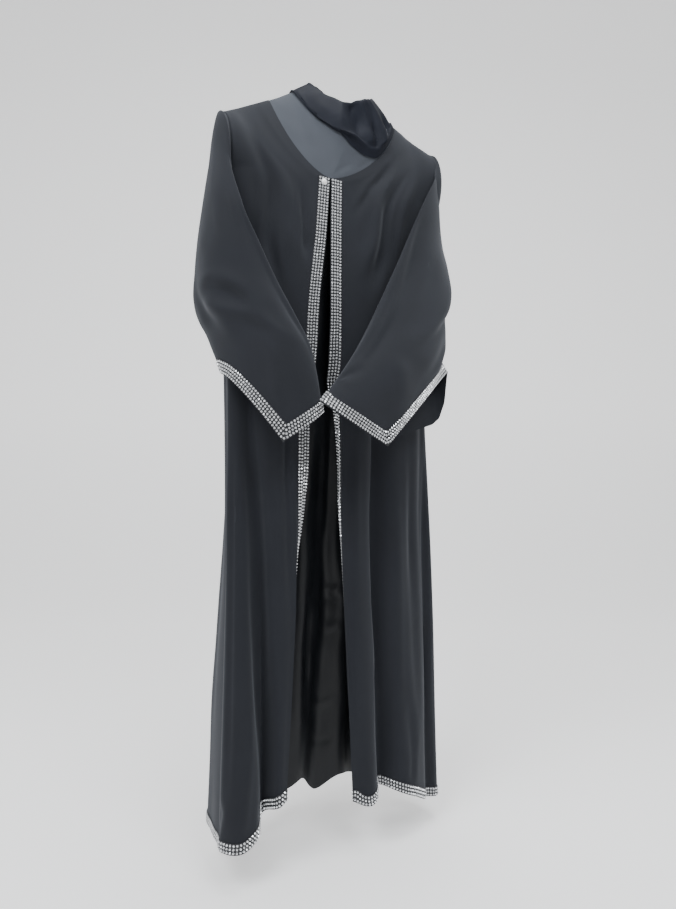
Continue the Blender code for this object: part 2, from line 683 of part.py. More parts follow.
def build_neck(parts, looks, grids, normals):
    """Matt yoke inside the neckline and the soft satin collar that stands on it."""
    last, last_n = body_neckline(grids, normals)
    edge_ring = last - last_n * (CLOTH + SEAM)
    side_angles = CLOSURE_ANGLE * np.arange(UPPER_ROWS - NECK_ROW, -1, -1) / (UPPER_ROWS - NECK_ROW)
    back_angles = np.linspace(360, 180, BACK_COLUMNS - 2 * SHOULDER_COLUMNS + 1)[1:-1]
    angles = np.r_[side_angles, back_angles, 180 - side_angles[::-1]]
    base = neck_ring(COLLAR_BASE, angles)
    grid = np.array([edge_ring + (base - edge_ring) * share for share in YOKE_SHARES])
    normals_yoke = grid_normals(grid, closed=True)
    normals_yoke = facing(normals_yoke, grid - NECK_MIDDLE)
    wall("neck_yoke", grid, grid - normals_yoke * LINING, looks["yoke"], parts, closed=True)
    rim = neck_ring(COLLAR_RIM, angles)
    drop = column(COLLAR_FALLS, "angle", "drop", angles)
    step = np.linalg.norm(base - edge_ring, axis=1)
    share = np.clip(drop / step, 0, 0.9)
    foot = base + (edge_ring - base) * share[:, None]
    foot_n = normals_yoke[-1] * (1 - share[:, None]) + normals_yoke[0] * share[:, None]
    lift = LINING + COLLAR_REST
    low = base + normals_yoke[-1] * lift
    stand = [low + (rim - low) * i / COLLAR_ROWS for i in range(COLLAR_ROWS + 1)]
    collar = np.array([foot + unit(foot_n) * lift] + stand)
    collar_n = facing(grid_normals(collar, closed=True), collar - COLLAR_MIDDLE)
    wall("collar", collar, collar - collar_n * LINING, looks["satin"], parts, closed=True)


def build_lining(parts, looks):
    """Satin lining behind the opening, from under the yoke down to its own plain hem."""
    places = np.linspace(0, 1, LINING_COLUMNS + 1)
    side_in = CLOTH + LINING_REST
    hem = column(LINING_HEM, "place", "z", places)
    from_middle = np.abs(places - LINING_TOP_MIDDLE) / LINING_TOP_HALF
    top = LINING_TOP_Z + LINING_TOP_RISE * np.sqrt(np.clip(1 - from_middle ** 2, 0, 1))
    wave = sum(f.depth * np.exp(-((places - f.place) / LINING_FOLD_WIDTH) ** 2) for f in LINING_FOLDS)
    rows = []
    for level in np.linspace(1, 0, LINING_ROWS):
        z = top + (hem - top) * level
        right = column(SECTIONS, "z", "right_x", z) + side_in
        left = column(SECTIONS, "z", "left_x", z) - side_in
        side_y = column(SECTIONS, "z", "side_y", z)
        centre_y = column(LINING_DEPTH, "z", "centre_y", z)
        x = right + (left - right) * places
        y = side_y + (centre_y - side_y) * np.sin(math.pi * places) ** LINING_CURVE
        rows.append(np.stack([x, y + wave * level ** LINING_FOLD_GROWTH, z], axis=1))
    grid = np.array(rows)
    outward = np.zeros_like(grid)
    outward[:, :, 1] = -1
    n = facing(grid_normals(grid), outward)
    n[:, 0] = (0, -1, 0)
    n[:, -1] = (0, -1, 0)
    wall("satin_lining", grid, grid - n * LINING, looks["satin"], parts)


def build_button(parts, looks, grids, normals):
    """Round pearl button near the top of the right front's trim."""
    row = SKIRT_ROWS + NECK_ROW
    across = FRONT_COLUMNS + 1
    spot = grids["right"][row, across] * 0.75 + grids["right"][row - 1, across] * 0.25
    out = unit(normals["right"][row, across])
    bpy.ops.mesh.primitive_uv_sphere_add(segments=16, ring_count=10, radius=1.0)
    made = bpy.context.object
    made.name = "button"
    mesh = made.data
    mesh.name = "button"
    for v in mesh.vertices:
        v.co.x *= BUTTON_RADIUS
        v.co.y *= BUTTON_RADIUS
        v.co.z = max(v.co.z, 0) * BUTTON_HEIGHT
    made.rotation_euler = Vector(out).to_track_quat("Z", "Y").to_euler()
    made.location = spot + out * (SEAM + TRIM_THICKNESS + SEAM)
    mesh.materials.append(looks["pearl"])
    mesh.shade_smooth()
    for collection in list(made.users_collection):
        collection.objects.unlink(made)
    parts.objects.link(made)


def main():
    for old in list(bpy.data.objects):
        bpy.data.objects.remove(old, do_unlink=True)
    parts = bpy.data.collections.new("abaya_cloak")
    bpy.context.scene.collection.children.link(parts)
    looks = {
        "crepe": material("matt_black_crepe", (0.018, 0.020, 0.024), 0.85),
        "yoke": material("matt_grey_yoke", (0.060, 0.066, 0.080), 0.75),
        "satin": material("black_satin", (0.014, 0.015, 0.018), 0.35),
        "trim": material("rhinestone_trim", (0.55, 0.55, 0.58), 0.25, 0.6),
        "pearl": material("pearl", (0.80, 0.78, 0.76), 0.20),
    }
    grids, normals = panels()
    build_body(parts, looks, grids, normals)
    for side in ("right", "left"):
        build_sleeve(parts, looks, side)
    build_trims(parts, looks, grids, normals)
    build_neck(parts, looks, grids, normals)
    build_lining(parts, looks)
    build_button(parts, looks, grids, normals)


main()
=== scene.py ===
"""Looks of the abaya cloak: creased crepe and satin, stone bands, pearl button and studio, round its frame.

The wearer's left is +X, the front faces -Y and up is +Z, in metres. Each piece of cloth is a thin shell
over a smooth surface with the form of its solid. Its creases are soft troughs and ridges laid one by one.
"""
import functools
import math
from collections import namedtuple

import bpy
import numpy as np
from bpy.props import FloatProperty, FloatVectorProperty, IntProperty, PointerProperty
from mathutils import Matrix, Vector


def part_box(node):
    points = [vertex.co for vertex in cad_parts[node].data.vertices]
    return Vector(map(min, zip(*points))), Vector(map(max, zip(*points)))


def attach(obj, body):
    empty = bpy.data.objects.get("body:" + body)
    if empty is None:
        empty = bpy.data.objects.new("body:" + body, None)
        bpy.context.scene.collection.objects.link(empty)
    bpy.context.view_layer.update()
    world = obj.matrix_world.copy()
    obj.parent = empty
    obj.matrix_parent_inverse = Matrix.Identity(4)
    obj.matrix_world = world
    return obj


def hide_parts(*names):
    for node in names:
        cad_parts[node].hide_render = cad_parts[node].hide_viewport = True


bl_info = {
    "name": "Abaya cloak",
    "version": (1, 0, 0),
    "blender": (4, 5, 0),
    "location": "3D View > Sidebar > Abaya",
    "description": "Dresses the frame of an abaya cloak in crepe, satin and stone bands",
    "category": "Object",
}

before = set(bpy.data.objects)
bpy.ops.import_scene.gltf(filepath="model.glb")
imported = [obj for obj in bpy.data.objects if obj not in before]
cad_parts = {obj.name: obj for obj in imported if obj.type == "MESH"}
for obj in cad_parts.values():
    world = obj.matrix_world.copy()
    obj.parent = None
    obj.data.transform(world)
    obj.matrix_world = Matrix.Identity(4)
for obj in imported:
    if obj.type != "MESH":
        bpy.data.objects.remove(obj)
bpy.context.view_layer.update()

# Sizes of the cut, in metres, as in the frame; shoulder tips and neck points as x and z
UNDERARM_Z = -0.275
NECK_FRONT_Z = -0.138
RIGHT_TIP = (-0.251, -0.036)
LEFT_TIP = (0.250, -0.002)
RIGHT_NECK = (-0.150, 0.018)
LEFT_NECK = (0.155, 0.041)
BACK_NECK_Y = 0.066
BACK_NECK_DROP = 0.030
ARMHOLE_FRONT = 0.048
ARMHOLE_BACK = 0.046
FOLD_TOP_Z = -0.42
FOLD_LOW_Z = -1.43
FRAME_CLOTH = 0.002
FRAME_LINING = 0.0015
SEAM = 0.0003

# How the sleeve's head steps out past the seam, how far the cloth fills the hollow in front of the armhole,
# and how far the collar and the lining stand off what they lie on
SLEEVE_TURN = (0.004, -0.0025, 0.0)
SHOULDER_FILL = 0.017
SHOULDER_FILL_REACH = 0.065
COLLAR_REST = 0.0012
LINING_REST = 0.0009

# Powers of the curves' sines: below 1 a curve is squarer, above 1 it is more pointed
RIGHT_NECK_CURVE = 1.25
LEFT_NECK_CURVE = 1.40
BACK_NECK_CURVE = 0.7
ARMHOLE_RISE = 1.7
FRONT_CURVE = 0.85
BACK_CURVE = 0.8
RING_CORNER = 0.8
SHOULDER_BLEND = 5

# Angle of the front opening round the neck, the neckline's foot as a share of the armhole's height, and each
# shoulder seam as a share of the back's width
CLOSURE_ANGLE = 84
NECK_SHARE = 3 / 8
SHOULDER_SHARE = 6 / 26

# How finely each piece is meshed; EDGE_REACH counts the places searched for the nearest of an edge
FRONT_COLUMNS = 56
STRIP_COLUMNS = 6
ROLL_COLUMNS = 2
EDGE_REACH = 20
BACK_COLUMNS = 104
SKIRT_ROWS = 190
UPPER_ROWS = 56
SLEEVE_COLUMNS = 144
SLEEVE_ROWS = 130
LINING_COLUMNS = 84
LINING_ROWS = 190
STONE_SIDES = 8
BUTTON_SIDES = 32
SETTLE_PASSES = 60
ROW_SAMPLES = 160
BACK_ROW_SAMPLES = 240
CREASE_STEPS = 13
RIPPLE_WAVES = 7

# The plain cloth that rolls in beside a strip: width of a column, and the strip's turn, in degrees, at which
# it is rolled in full
ROLL_STEP = 0.004
FULL_ROLL_TURN = 60

# Each crease fades over a share of its length at both ends, and a low rim follows it on each side
CREASE_FADE = 0.35
RIM_HEIGHT = 0.25
RIM_PLACE = 2.1

# The button's size as a share of its solid's, and the pearl's dome on it
BUTTON_GROWTH = 1.2
DOME_SHARE = 0.84
DOME_FOOT = 0.0010
DOME_RISE = 0.0034

Section = namedtuple("Section", "z right_x left_x side_y front_y back_y")
SECTIONS = [
    Section(-0.036, -0.251, 0.25, 0, -0.05, 0.058),
    Section(-0.156, -0.246, 0.247, 0.012, -0.056, 0.074),
    Section(-0.275, -0.24, 0.243, 0.018, -0.059, 0.086),
    Section(-0.6, -0.233, 0.242, 0.008, -0.06, 0.1),
    Section(-0.78, -0.235, 0.243, -0.004, -0.06, 0.106),
    Section(-1.08, -0.245, 0.249, -0.016, -0.064, 0.118),
    Section(-1.43, -0.258, 0.25, -0.026, -0.072, 0.132),
]

# The line where each front's edge rolls in, and how far its strip turns, in degrees
Edge = namedtuple("Edge", "z right_x left_x right_turn left_turn")
EDGES = [
    Edge(-0.14, -0.0635, -0.009, 0, 0),
    Edge(-0.25, -0.073, -0.012, 0, 0),
    Edge(-0.4, -0.09, -0.0125, 0, 0),
    Edge(-0.51, -0.097, -0.0125, 0, 25),
    Edge(-0.62, -0.111, -0.012, 0, 92),
    Edge(-0.72, -0.112, -0.012, 8, 106),
    Edge(-0.8, -0.113, -0.013, 34, 110),
    Edge(-0.9, -0.1135, -0.012, 66, 122),
    Edge(-0.98, -0.115, -0.01, 90, 134),
    Edge(-1.1, -0.122, -0.005, 100, 138),
    Edge(-1.43, -0.146, 0.009, 104, 138),
]

# Folds of the skirt: place from the side seam (0) to the front edge (1), on the back from right to left
Fold = namedtuple("Fold", "panel top_place hem_place top_out hem_out width")
FOLDS = [
    Fold("right_front", 0.1, 0.3, 0.004, 0.026, 0.22),
    Fold("right_front", 0.26, 0.76, -0.012, -0.045, 0.1),
    Fold("right_front", 0.6, 0.9, 0.003, 0.006, 0.12),
    Fold("left_front", 0.18, 0.17, -0.003, -0.014, 0.06),
    Fold("left_front", 0.45, 0.45, 0.003, 0.014, 0.16),
    Fold("left_front", 0.67, 0.67, -0.012, -0.034, 0.075),
    Fold("left_front", 0.84, 0.85, 0.003, 0.016, 0.1),
    Fold("back", 0.16, 0.14, 0.003, 0.022, 0.05),
    Fold("back", 0.27, 0.25, -0.005, -0.034, 0.045),
    Fold("back", 0.39, 0.37, 0.004, 0.02, 0.055),
    Fold("back", 0.5, 0.51, -0.006, -0.042, 0.05),
    Fold("back", 0.61, 0.64, 0.004, 0.024, 0.055),
    Fold("back", 0.73, 0.76, -0.005, -0.03, 0.045),
    Fold("back", 0.85, 0.87, 0.003, 0.018, 0.05),
]

# Place along each panel and height of its hem there
HEMS = {
    "right_front": [(0, -1.425), (0.3, -1.425), (0.62, -1.405),
                    (0.78, -1.372), (1, -1.352)],
    "left_front": [(0, -1.448), (0.2, -1.44), (0.45, -1.408),
                   (0.67, -1.388), (0.85, -1.402), (1, -1.386)],
    "back": [(0, -1.425), (0.25, -1.418), (0.5, -1.405),
             (0.75, -1.425), (1, -1.448)],
}

# Sleeves: the four quarter points of each flattened ring, from the armhole's to the cuff's
Ring = namedtuple("Ring", "front outer back inner")
RIGHT_RINGS = [
    Ring((-0.24, -0.096, -0.262), (-0.284, -0.034, -0.23),
         (-0.268, 0.056, -0.29), (-0.252, -0.006, -0.345)),
    Ring((-0.182, -0.118, -0.395), (-0.276, -0.08, -0.37),
         (-0.29, 0.036, -0.405), (-0.245, -0.04, -0.435)),
    Ring((-0.125, -0.134, -0.51), (-0.222, -0.142, -0.5),
         (-0.276, 0.002, -0.47), (-0.212, -0.076, -0.52)),
    Ring((-0.099, -0.134, -0.622), (-0.188, -0.152, -0.682),
         (-0.262, -0.04, -0.552), (-0.18, -0.078, -0.644)),
]
LEFT_RINGS = [
    Ring((0.188, -0.082, -0.168), (0.257, -0.034, -0.095),
         (0.258, 0.054, -0.19), (0.252, -0.022, -0.3)),
    Ring((0.134, -0.097, -0.235), (0.262, -0.042, -0.21),
         (0.266, 0.045, -0.285), (0.252, -0.028, -0.33)),
    Ring((0.046, -0.114, -0.39), (0.232, -0.096, -0.36),
         (0.257, 0.018, -0.4), (0.205, -0.066, -0.43)),
    Ring((-0.038, -0.136, -0.518), (0.13, -0.152, -0.52),
         (0.254, -0.03, -0.48), (0.11, -0.092, -0.555)),
    Ring((-0.122, -0.17, -0.608), (0.022, -0.174, -0.686),
         (0.25, -0.074, -0.54), (0.06, -0.11, -0.668)),
]

# Place and height of the cuff from its front edge to its back edge, by the outer and by the inner wall
RIGHT_CUFF = {
    "outer": [(0, -0.624), (0.5, -0.682), (1, -0.552)],
    "inner": [(0, -0.624), (0.5, -0.644), (0.85, -0.56),
              (1, -0.548)],
}
LEFT_CUFF = {
    "outer": [(0, -0.608), (0.5, -0.686), (1, -0.516)],
    "inner": [(0, -0.608), (0.5, -0.672), (0.88, -0.632),
              (0.94, -0.616), (0.98, -0.582), (1, -0.516)],
}

# Neck: the ring where the yoke meets the collar, and the collar's rim
NeckPoint = namedtuple("NeckPoint", "angle x y z")
COLLAR_BASE = [
    NeckPoint(0, -0.094, 0, 0.05), NeckPoint(45, -0.066, -0.032, 0.002),
    NeckPoint(90, 0, -0.053, -0.034), NeckPoint(135, 0.088, -0.042, -0.022),
    NeckPoint(180, 0.142, 0.004, 0.05), NeckPoint(225, 0.105, 0.045, 0.052),
    NeckPoint(270, 0.022, 0.06, 0.045), NeckPoint(315, -0.058, 0.044, 0.05),
]
COLLAR_RIM = [
    NeckPoint(0, -0.062, 0.002, 0.08), NeckPoint(45, -0.036, -0.03, 0.048),
    NeckPoint(90, 0.006, -0.046, 0.034), NeckPoint(135, 0.066, -0.036, 0.058),
    NeckPoint(180, 0.104, 0.002, 0.088), NeckPoint(225, 0.084, 0.034, 0.09),
    NeckPoint(270, 0.02, 0.048, 0.084), NeckPoint(315, -0.042, 0.034, 0.082),
]

# How far the collar's foot falls onto the yoke, by angle
COLLAR_FALLS = [(0, 0.006), (84, 0.006), (104, 0.028), (128, 0.046), (150, 0.041),
                (178, 0.015), (215, 0.009), (270, 0.008), (360, 0.006)]

# Lining behind the front opening: how deep its middle lies by height, its hem, and its folds by place
LINING_DEPTH = [(-0.15, -0.04), (-0.3, -0.032), (-0.6, -0.018), (-0.9, 0.008), (-1.38, 0.03)]
LINING_HEM = [(0, -1.39), (0.3, -1.38), (0.38, -1.364),
              (0.47, -1.404), (0.56, -1.372), (0.7, -1.39), (1, -1.39)]
LINING_FOLDS = [(0.2, 0.014), (0.36, -0.012), (0.46, 0.012),
                (0.56, -0.016), (0.7, 0.014), (0.84, -0.012)]

# Creases: a curve through three places on a piece. Across runs from the side seam (0) to the edge strip (1),
# round a sleeve from its front edge by the outer wall, and down is the height on the body and the lining,
# or the share of a sleeve's or collar's length. Depth is out of the cloth, width half the crease's own.
Crease = namedtuple("Crease", "across0 down0 across1 down1 across2 down2 width depth skew")
CREASE_ROWS = {
    "right_front": [
        (0.47, -0.08, 0.5, -0.24, 0.72, -0.4, 0.015, -0.0085, 0.3),
        (0.81, -0.145, 0.88, -0.25, 0.99, -0.33, 0.011, -0.0055, -0.2),
        (0.63, -0.11, 0.69, -0.24, 0.8, -0.36, 0.014, 0.004, 0.1),
        (0.24, -0.11, 0.33, -0.25, 0.52, -0.42, 0.016, -0.005, 0.2),
        (0.19, -0.64, 0.155, -0.98, 0.175, -1.4, 0.007, -0.0035, 0.4),
        (0.31, -0.56, 0.4, -0.98, 0.64, -1.36, 0.012, -0.007, 0.4),
        (0.56, -0.54, 0.6, -0.9, 0.8, -1.3, 0.012, 0.0035, 0),
        (0.86, -0.56, 0.84, -0.78, 0.9, -1.1, 0.009, -0.003, 0.2),
        (0.1, -1.33, 0.07, -1.38, 0.03, -1.42, 0.008, -0.004, 0.2),
        (0.08, -0.33, 0.26, -0.42, 0.45, -0.48, 0.012, -0.0045, 0),
        (0.36, -1.15, 0.38, -1.29, 0.33, -1.41, 0.01, 0.003, 0),
    ],
    "left_front": [
        (0.96, -0.06, 0.8, -0.13, 0.9, -0.215, 0.012, -0.005, 0.2),
        (0.56, -0.06, 0.6, -0.23, 0.79, -0.38, 0.015, -0.008, -0.3),
        (0.7, -0.08, 0.69, -0.23, 0.86, -0.34, 0.013, 0.0045, 0),
        (0.4, -0.06, 0.43, -0.2, 0.58, -0.36, 0.015, 0.004, 0),
        (0.86, -0.56, 0.87, -1, 0.93, -1.34, 0.012, 0.0035, 0.1),
        (0.665, -0.5, 0.667, -0.96, 0.76, -1.35, 0.011, -0.007, 0.4),
        (0.5, -0.56, 0.49, -1, 0.54, -1.36, 0.016, 0.003, 0),
        (0.33, -0.62, 0.34, -1, 0.3, -1.33, 0.015, -0.0035, 0.2),
        (0.11, -0.64, 0.15, -1.02, 0.18, -1.4, 0.008, -0.005, 0.3),
        (0.96, -0.9, 0.93, -1.12, 0.99, -1.34, 0.008, -0.003, 0),
        (0.1, -0.33, 0.28, -0.43, 0.47, -0.49, 0.013, -0.0045, 0),
        (0.43, -1.2, 0.41, -1.31, 0.44, -1.4, 0.011, -0.0035, 0),
    ],
    "back": [
        (0.07, -0.17, 0.2, -0.26, 0.33, -0.44, 0.016, -0.0065, 0.2),
        (0.93, -0.15, 0.82, -0.25, 0.7, -0.43, 0.016, -0.0065, -0.2),
        (0.4, -0.06, 0.44, -0.18, 0.47, -0.36, 0.017, -0.0045, 0),
        (0.6, -0.05, 0.57, -0.18, 0.54, -0.34, 0.017, -0.004, 0),
        (0.3, -0.08, 0.32, -0.22, 0.38, -0.42, 0.015, 0.004, 0.1),
        (0.7, -0.06, 0.69, -0.21, 0.64, -0.42, 0.015, 0.004, 0.1),
        (0.27, -0.46, 0.26, -0.9, 0.25, -1.39, 0.013, -0.007, 0.3),
        (0.5, -0.42, 0.51, -0.9, 0.51, -1.39, 0.014, -0.008, 0.2),
        (0.73, -0.46, 0.75, -0.9, 0.76, -1.4, 0.013, -0.007, -0.3),
        (0.39, -0.56, 0.38, -0.94, 0.37, -1.37, 0.016, 0.004, 0),
        (0.62, -0.58, 0.63, -0.94, 0.64, -1.37, 0.016, 0.0045, 0),
        (0.15, -0.6, 0.12, -0.98, 0.15, -1.38, 0.01, -0.004, 0.2),
        (0.88, -0.62, 0.9, -1, 0.88, -1.4, 0.01, -0.004, -0.2),
        (0.08, -0.35, 0.19, -0.46, 0.3, -0.52, 0.014, -0.0045, 0),
        (0.92, -0.35, 0.81, -0.46, 0.7, -0.52, 0.014, -0.0045, 0),
        (0.45, -1.05, 0.44, -1.24, 0.45, -1.38, 0.012, -0.004, 0),
        (0.57, -1.1, 0.58, -1.26, 0.57, -1.38, 0.012, -0.0035, 0),
    ],
    "right_sleeve": [
        (0.07, 0.18, 0.09, 0.5, 0.06, 0.86, 0.014, -0.004, 0.3),
        (0.23, 0.56, 0.265, 0.68, 0.25, 0.8, 0.02, -0.005, 0.2),
        (0.39, 0.52, 0.3, 0.59, 0.2, 0.63, 0.013, -0.005, 0.2),
        (0.4, 0.6, 0.31, 0.66, 0.17, 0.7, 0.015, 0.0035, 0),
        (0.18, 0.2, 0.17, 0.42, 0.23, 0.6, 0.018, -0.004, 0),
        (0.29, 0.3, 0.33, 0.56, 0.36, 0.84, 0.02, 0.004, 0),
        (0.25, 0.98, 0.24, 0.85, 0.22, 0.72, 0.012, 0.0035, 0),
        (0.55, 0.35, 0.62, 0.52, 0.64, 0.76, 0.018, -0.005, 0.2),
        (0.8, 0.3, 0.74, 0.5, 0.78, 0.7, 0.015, -0.0045, -0.2),
        (0.4, 0.42, 0.41, 0.62, 0.4, 0.8, 0.016, -0.0018, 0),
    ],
    "left_sleeve": [
        (0.085, 0.2, 0.105, 0.52, 0.085, 0.88, 0.015, -0.006, 0.4),
        (0.04, 0.25, 0.045, 0.56, 0.035, 0.88, 0.012, 0.0035, 0),
        (0.19, 0.3, 0.17, 0.56, 0.13, 0.8, 0.018, -0.004, 0.1),
        (0.38, 0.42, 0.29, 0.6, 0.18, 0.78, 0.02, -0.0055, 0.2),
        (0.3, 0.2, 0.28, 0.44, 0.24, 0.64, 0.02, 0.004, 0),
        (0.25, 0.985, 0.21, 0.86, 0.13, 0.75, 0.014, 0.004, 0),
        (0.4, 0.56, 0.35, 0.74, 0.33, 0.9, 0.018, 0.004, 0),
        (0.56, 0.3, 0.62, 0.54, 0.63, 0.8, 0.018, -0.0055, 0.2),
        (0.8, 0.3, 0.76, 0.52, 0.8, 0.76, 0.016, -0.0045, -0.2),
        (0.42, 0.38, 0.425, 0.6, 0.415, 0.84, 0.016, -0.002, 0),
        (0.02, 0.9, 0.06, 0.86, 0.11, 0.84, 0.01, -0.003, 0),
    ],
    "satin_lining": [
        (0.47, -0.3, 0.468, -0.56, 0.474, -0.86, 0.007, -0.0045, 0.3),
        (0.44, -0.56, 0.446, -0.9, 0.43, -1.25, 0.011, 0.0035, 0),
        (0.53, -0.42, 0.515, -0.76, 0.52, -1.1, 0.012, 0.0035, 0.1),
        (0.46, -0.96, 0.51, -0.985, 0.56, -0.95, 0.008, 0.0024, 0.2),
        (0.44, -1.01, 0.49, -1, 0.55, -1.03, 0.009, -0.0022, 0),
        (0.48, -1.08, 0.51, -1.06, 0.56, -1.065, 0.007, 0.002, 0),
        (0.4, -1.02, 0.415, -1.15, 0.42, -1.3, 0.008, 0.0035, 0.1),
        (0.38, -0.95, 0.39, -1.08, 0.38, -1.24, 0.009, -0.0035, 0.1),
        (0.54, -0.6, 0.55, -0.76, 0.53, -0.9, 0.01, -0.003, 0),
        (0.3, -0.5, 0.31, -0.9, 0.29, -1.3, 0.013, -0.0045, 0),
        (0.65, -0.5, 0.64, -0.9, 0.66, -1.3, 0.013, -0.0045, 0),
        (0.42, -1.2, 0.47, -1.225, 0.54, -1.205, 0.008, 0.0022, 0),
        (0.43, -1.29, 0.48, -1.305, 0.54, -1.29, 0.006, -0.0018, 0),
    ],
    "neck_yoke": [
        (0.06, 0.8, 0.12, 0.5, 0.17, 0.25, 0.01, -0.0012, 0),
        (0.27, 0.6, 0.29, 0.35, 0.3, 0.1, 0.01, -0.0015, 0),
        (0.7, 0.7, 0.74, 0.4, 0.79, 0.2, 0.01, -0.0012, 0),
    ],
    "collar": [
        (0.02, 0.5, 0.12, 0.44, 0.23, 0.4, 0.012, 0.0022, 0.2),
        (0.01, 0.24, 0.11, 0.21, 0.23, 0.2, 0.007, -0.0024, 0),
        (0.262, 0.7, 0.296, 0.48, 0.345, 0.36, 0.011, -0.011, 0.3),
        (0.24, 0.34, 0.3, 0.15, 0.375, 0.08, 0.008, 0.005, 0.2),
        (0.352, 0.46, 0.366, 0.28, 0.372, 0.11, 0.007, -0.007, 0.2),
        (0.392, 0.56, 0.4, 0.34, 0.394, 0.1, 0.007, 0.0045, 0.1),
        (0.428, 0.52, 0.434, 0.32, 0.426, 0.12, 0.007, -0.0045, 0.1),
        (0.33, 0.66, 0.37, 0.6, 0.42, 0.6, 0.01, 0.004, 0),
        (0.56, 0.5, 0.64, 0.36, 0.7, 0.5, 0.011, -0.003, 0),
        (0.74, 0.62, 0.82, 0.4, 0.9, 0.56, 0.011, -0.003, 0),
        (0.6, 0.26, 0.7, 0.22, 0.82, 0.24, 0.008, 0.0025, 0),
    ],
}
CREASES = {name: [Crease(*row) for row in rows] for name, rows in CREASE_ROWS.items()}

# Slow unevenness of each piece: height, the length of its waves and a seed
Ripple = namedtuple("Ripple", "height across down seed")
RIPPLES = {
    "right_front": Ripple(0.0011, 0.12, 0.6, 11),
    "left_front": Ripple(0.0011, 0.13, 0.6, 12),
    "back": Ripple(0.0014, 0.13, 0.55, 13),
    "right_sleeve": Ripple(0.0012, 0.16, 0.3, 14),
    "left_sleeve": Ripple(0.0013, 0.17, 0.32, 15),
    "satin_lining": Ripple(0.0014, 0.06, 0.24, 16),
    "neck_yoke": Ripple(0.0005, 0.08, 0.07, 17),
    "collar": Ripple(0.0007, 0.06, 0.05, 18),
}

# Camera, with its turn and tilt in degrees, and stage
CAMERA_PLACE = (-0.71364, -1.24503, -0.739)
CAMERA_YAW = 30.3
CAMERA_PITCH = 1.638
CAMERA_LENS = 27.0
FLOOR_Z = -1.50
FLOOR_FRONT = -6.0
FLOOR_BACK = 2.0
FLOOR_HALF_WIDTH = 8.0
BACKDROP_BEND = 1.2
BACKDROP_HEIGHT = 6.0
ROOM_LIGHT = 0.30
Lamp = namedtuple("Lamp", "name place size power colour")
LAMPS = [
    Lamp("key_softbox", (-2.1, -1.1, 1.5), 1.6, 92, (0.95, 0.97, 1.0)),
    Lamp("fill_softbox", (-0.1, -1.7, 0.9), 1.0, 26, (0.93, 0.96, 1.0)),
    Lamp("top_softbox", (0.2, -0.4, 1.9), 1.4, 42, (0.96, 0.98, 1.0)),
]
LAMP_AIM = (0, 0, -0.6)


def smooth(keys, values, at):
    """Values along a table by a monotone cubic through its rows; keys rise."""
    keys = np.asarray(keys, float)
    values = np.asarray(values, float)
    at = np.clip(np.asarray(at, float), keys[0], keys[-1])
    step = np.diff(keys)
    slope = np.diff(values) / step
    tangent = np.zeros_like(values)
    tangent[0] = slope[0]
    tangent[-1] = slope[-1]
    for i in range(1, len(keys) - 1):
        if slope[i - 1] * slope[i] > 0:
            a = 2 * step[i] + step[i - 1]
            b = step[i] + 2 * step[i - 1]
            tangent[i] = (a + b) / (a / slope[i - 1] + b / slope[i])
    i = np.clip(np.searchsorted(keys, at, side="right") - 1, 0, len(step) - 1)
    t = (at - keys[i]) / step[i]
    h = step[i]
    return ((1 + 2 * t) * (1 - t) ** 2 * values[i] + t * (1 - t) ** 2 * h * tangent[i]
            + t * t * (3 - 2 * t) * values[i + 1] + t * t * (t - 1) * h * tangent[i + 1])


def table_curve(pairs, at):
    """Values of a short table of pairs, by a smooth curve through them."""
    keys, values = zip(*sorted(pairs))
    return smooth(keys, values, at)


def column(table, name, z):
    """One named column of a table at a height."""
    return table_curve([(row.z, getattr(row, name)) for row in table], z)


def section(name, z):
    return float(column(SECTIONS, name, z))


def edge(name, z):
    return float(column(EDGES, name, z))


def unit(v):
    v = np.asarray(v, float)
    return v / np.maximum(np.linalg.norm(v, axis=-1, keepdims=True), 1e-12)


def ease(x):
    """A soft step from 0 at 0 to 1 at 1."""
    x = np.clip(x, 0, 1)
    return x * x * (3 - 2 * x)


def reach_along(line):
    """Distance of each point of a line from its start."""
    return np.r_[0, np.cumsum(np.linalg.norm(np.diff(line, axis=0), axis=1))]


def grid_length(grid, axis, middle=np.median):
    """The middle one of a grid's lengths along its rows (1) or its columns (0)."""
    return float(middle(np.sum(np.linalg.norm(np.diff(grid, axis=axis), axis=2), axis=axis)))


def distance_in(grid, axis):
    """Distance of each point of a grid from the start of its row (1) or its column (0)."""
    first = np.take(grid, [0], axis=axis)
    return np.cumsum(np.linalg.norm(np.diff(grid, axis=axis, prepend=first), axis=2), axis=axis)


def bow_through(start, middle, end, share):
    """A bent line from start to end that passes the middle half way."""
    control = 2 * middle - (start + end) / 2
    return start * (1 - share) ** 2 + 2 * share * (1 - share) * control + end * share ** 2


def arc_places(points, places):
    """Points at fractions of a polyline's length."""
    length = reach_along(points)
    at = np.asarray(places) * length[-1]
    return np.stack([np.interp(at, length, points[:, i]) for i in range(3)], axis=1)


def side_values(side):
    """Sign of X, shoulder tip and neck point of one side."""
    return (-1, RIGHT_TIP, RIGHT_NECK) if side == "right" else (1, LEFT_TIP, LEFT_NECK)


def armhole_point(side, angle):
    """A point of the armhole: angle 0 is its front, 90 degrees the shoulder tip, 180 its back."""
    tip = side_values(side)[1]
    half = (tip[1] - UNDERARM_Z) / 2
    z = UNDERARM_Z + half + half * math.sin(angle)
    up = (z - UNDERARM_Z) / (2 * half)
    low_x = section(side + "_x", UNDERARM_Z)
    x = low_x + (tip[0] - low_x) * up
    middle = section("side_y", UNDERARM_Z) * (1 - up)
    reach = ARMHOLE_FRONT if math.cos(angle) > 0 else -ARMHOLE_BACK
    out = abs(math.cos(angle)) ** (ARMHOLE_RISE if math.sin(angle) > 0 else 1)
    return np.array([x, middle - reach * out, z])


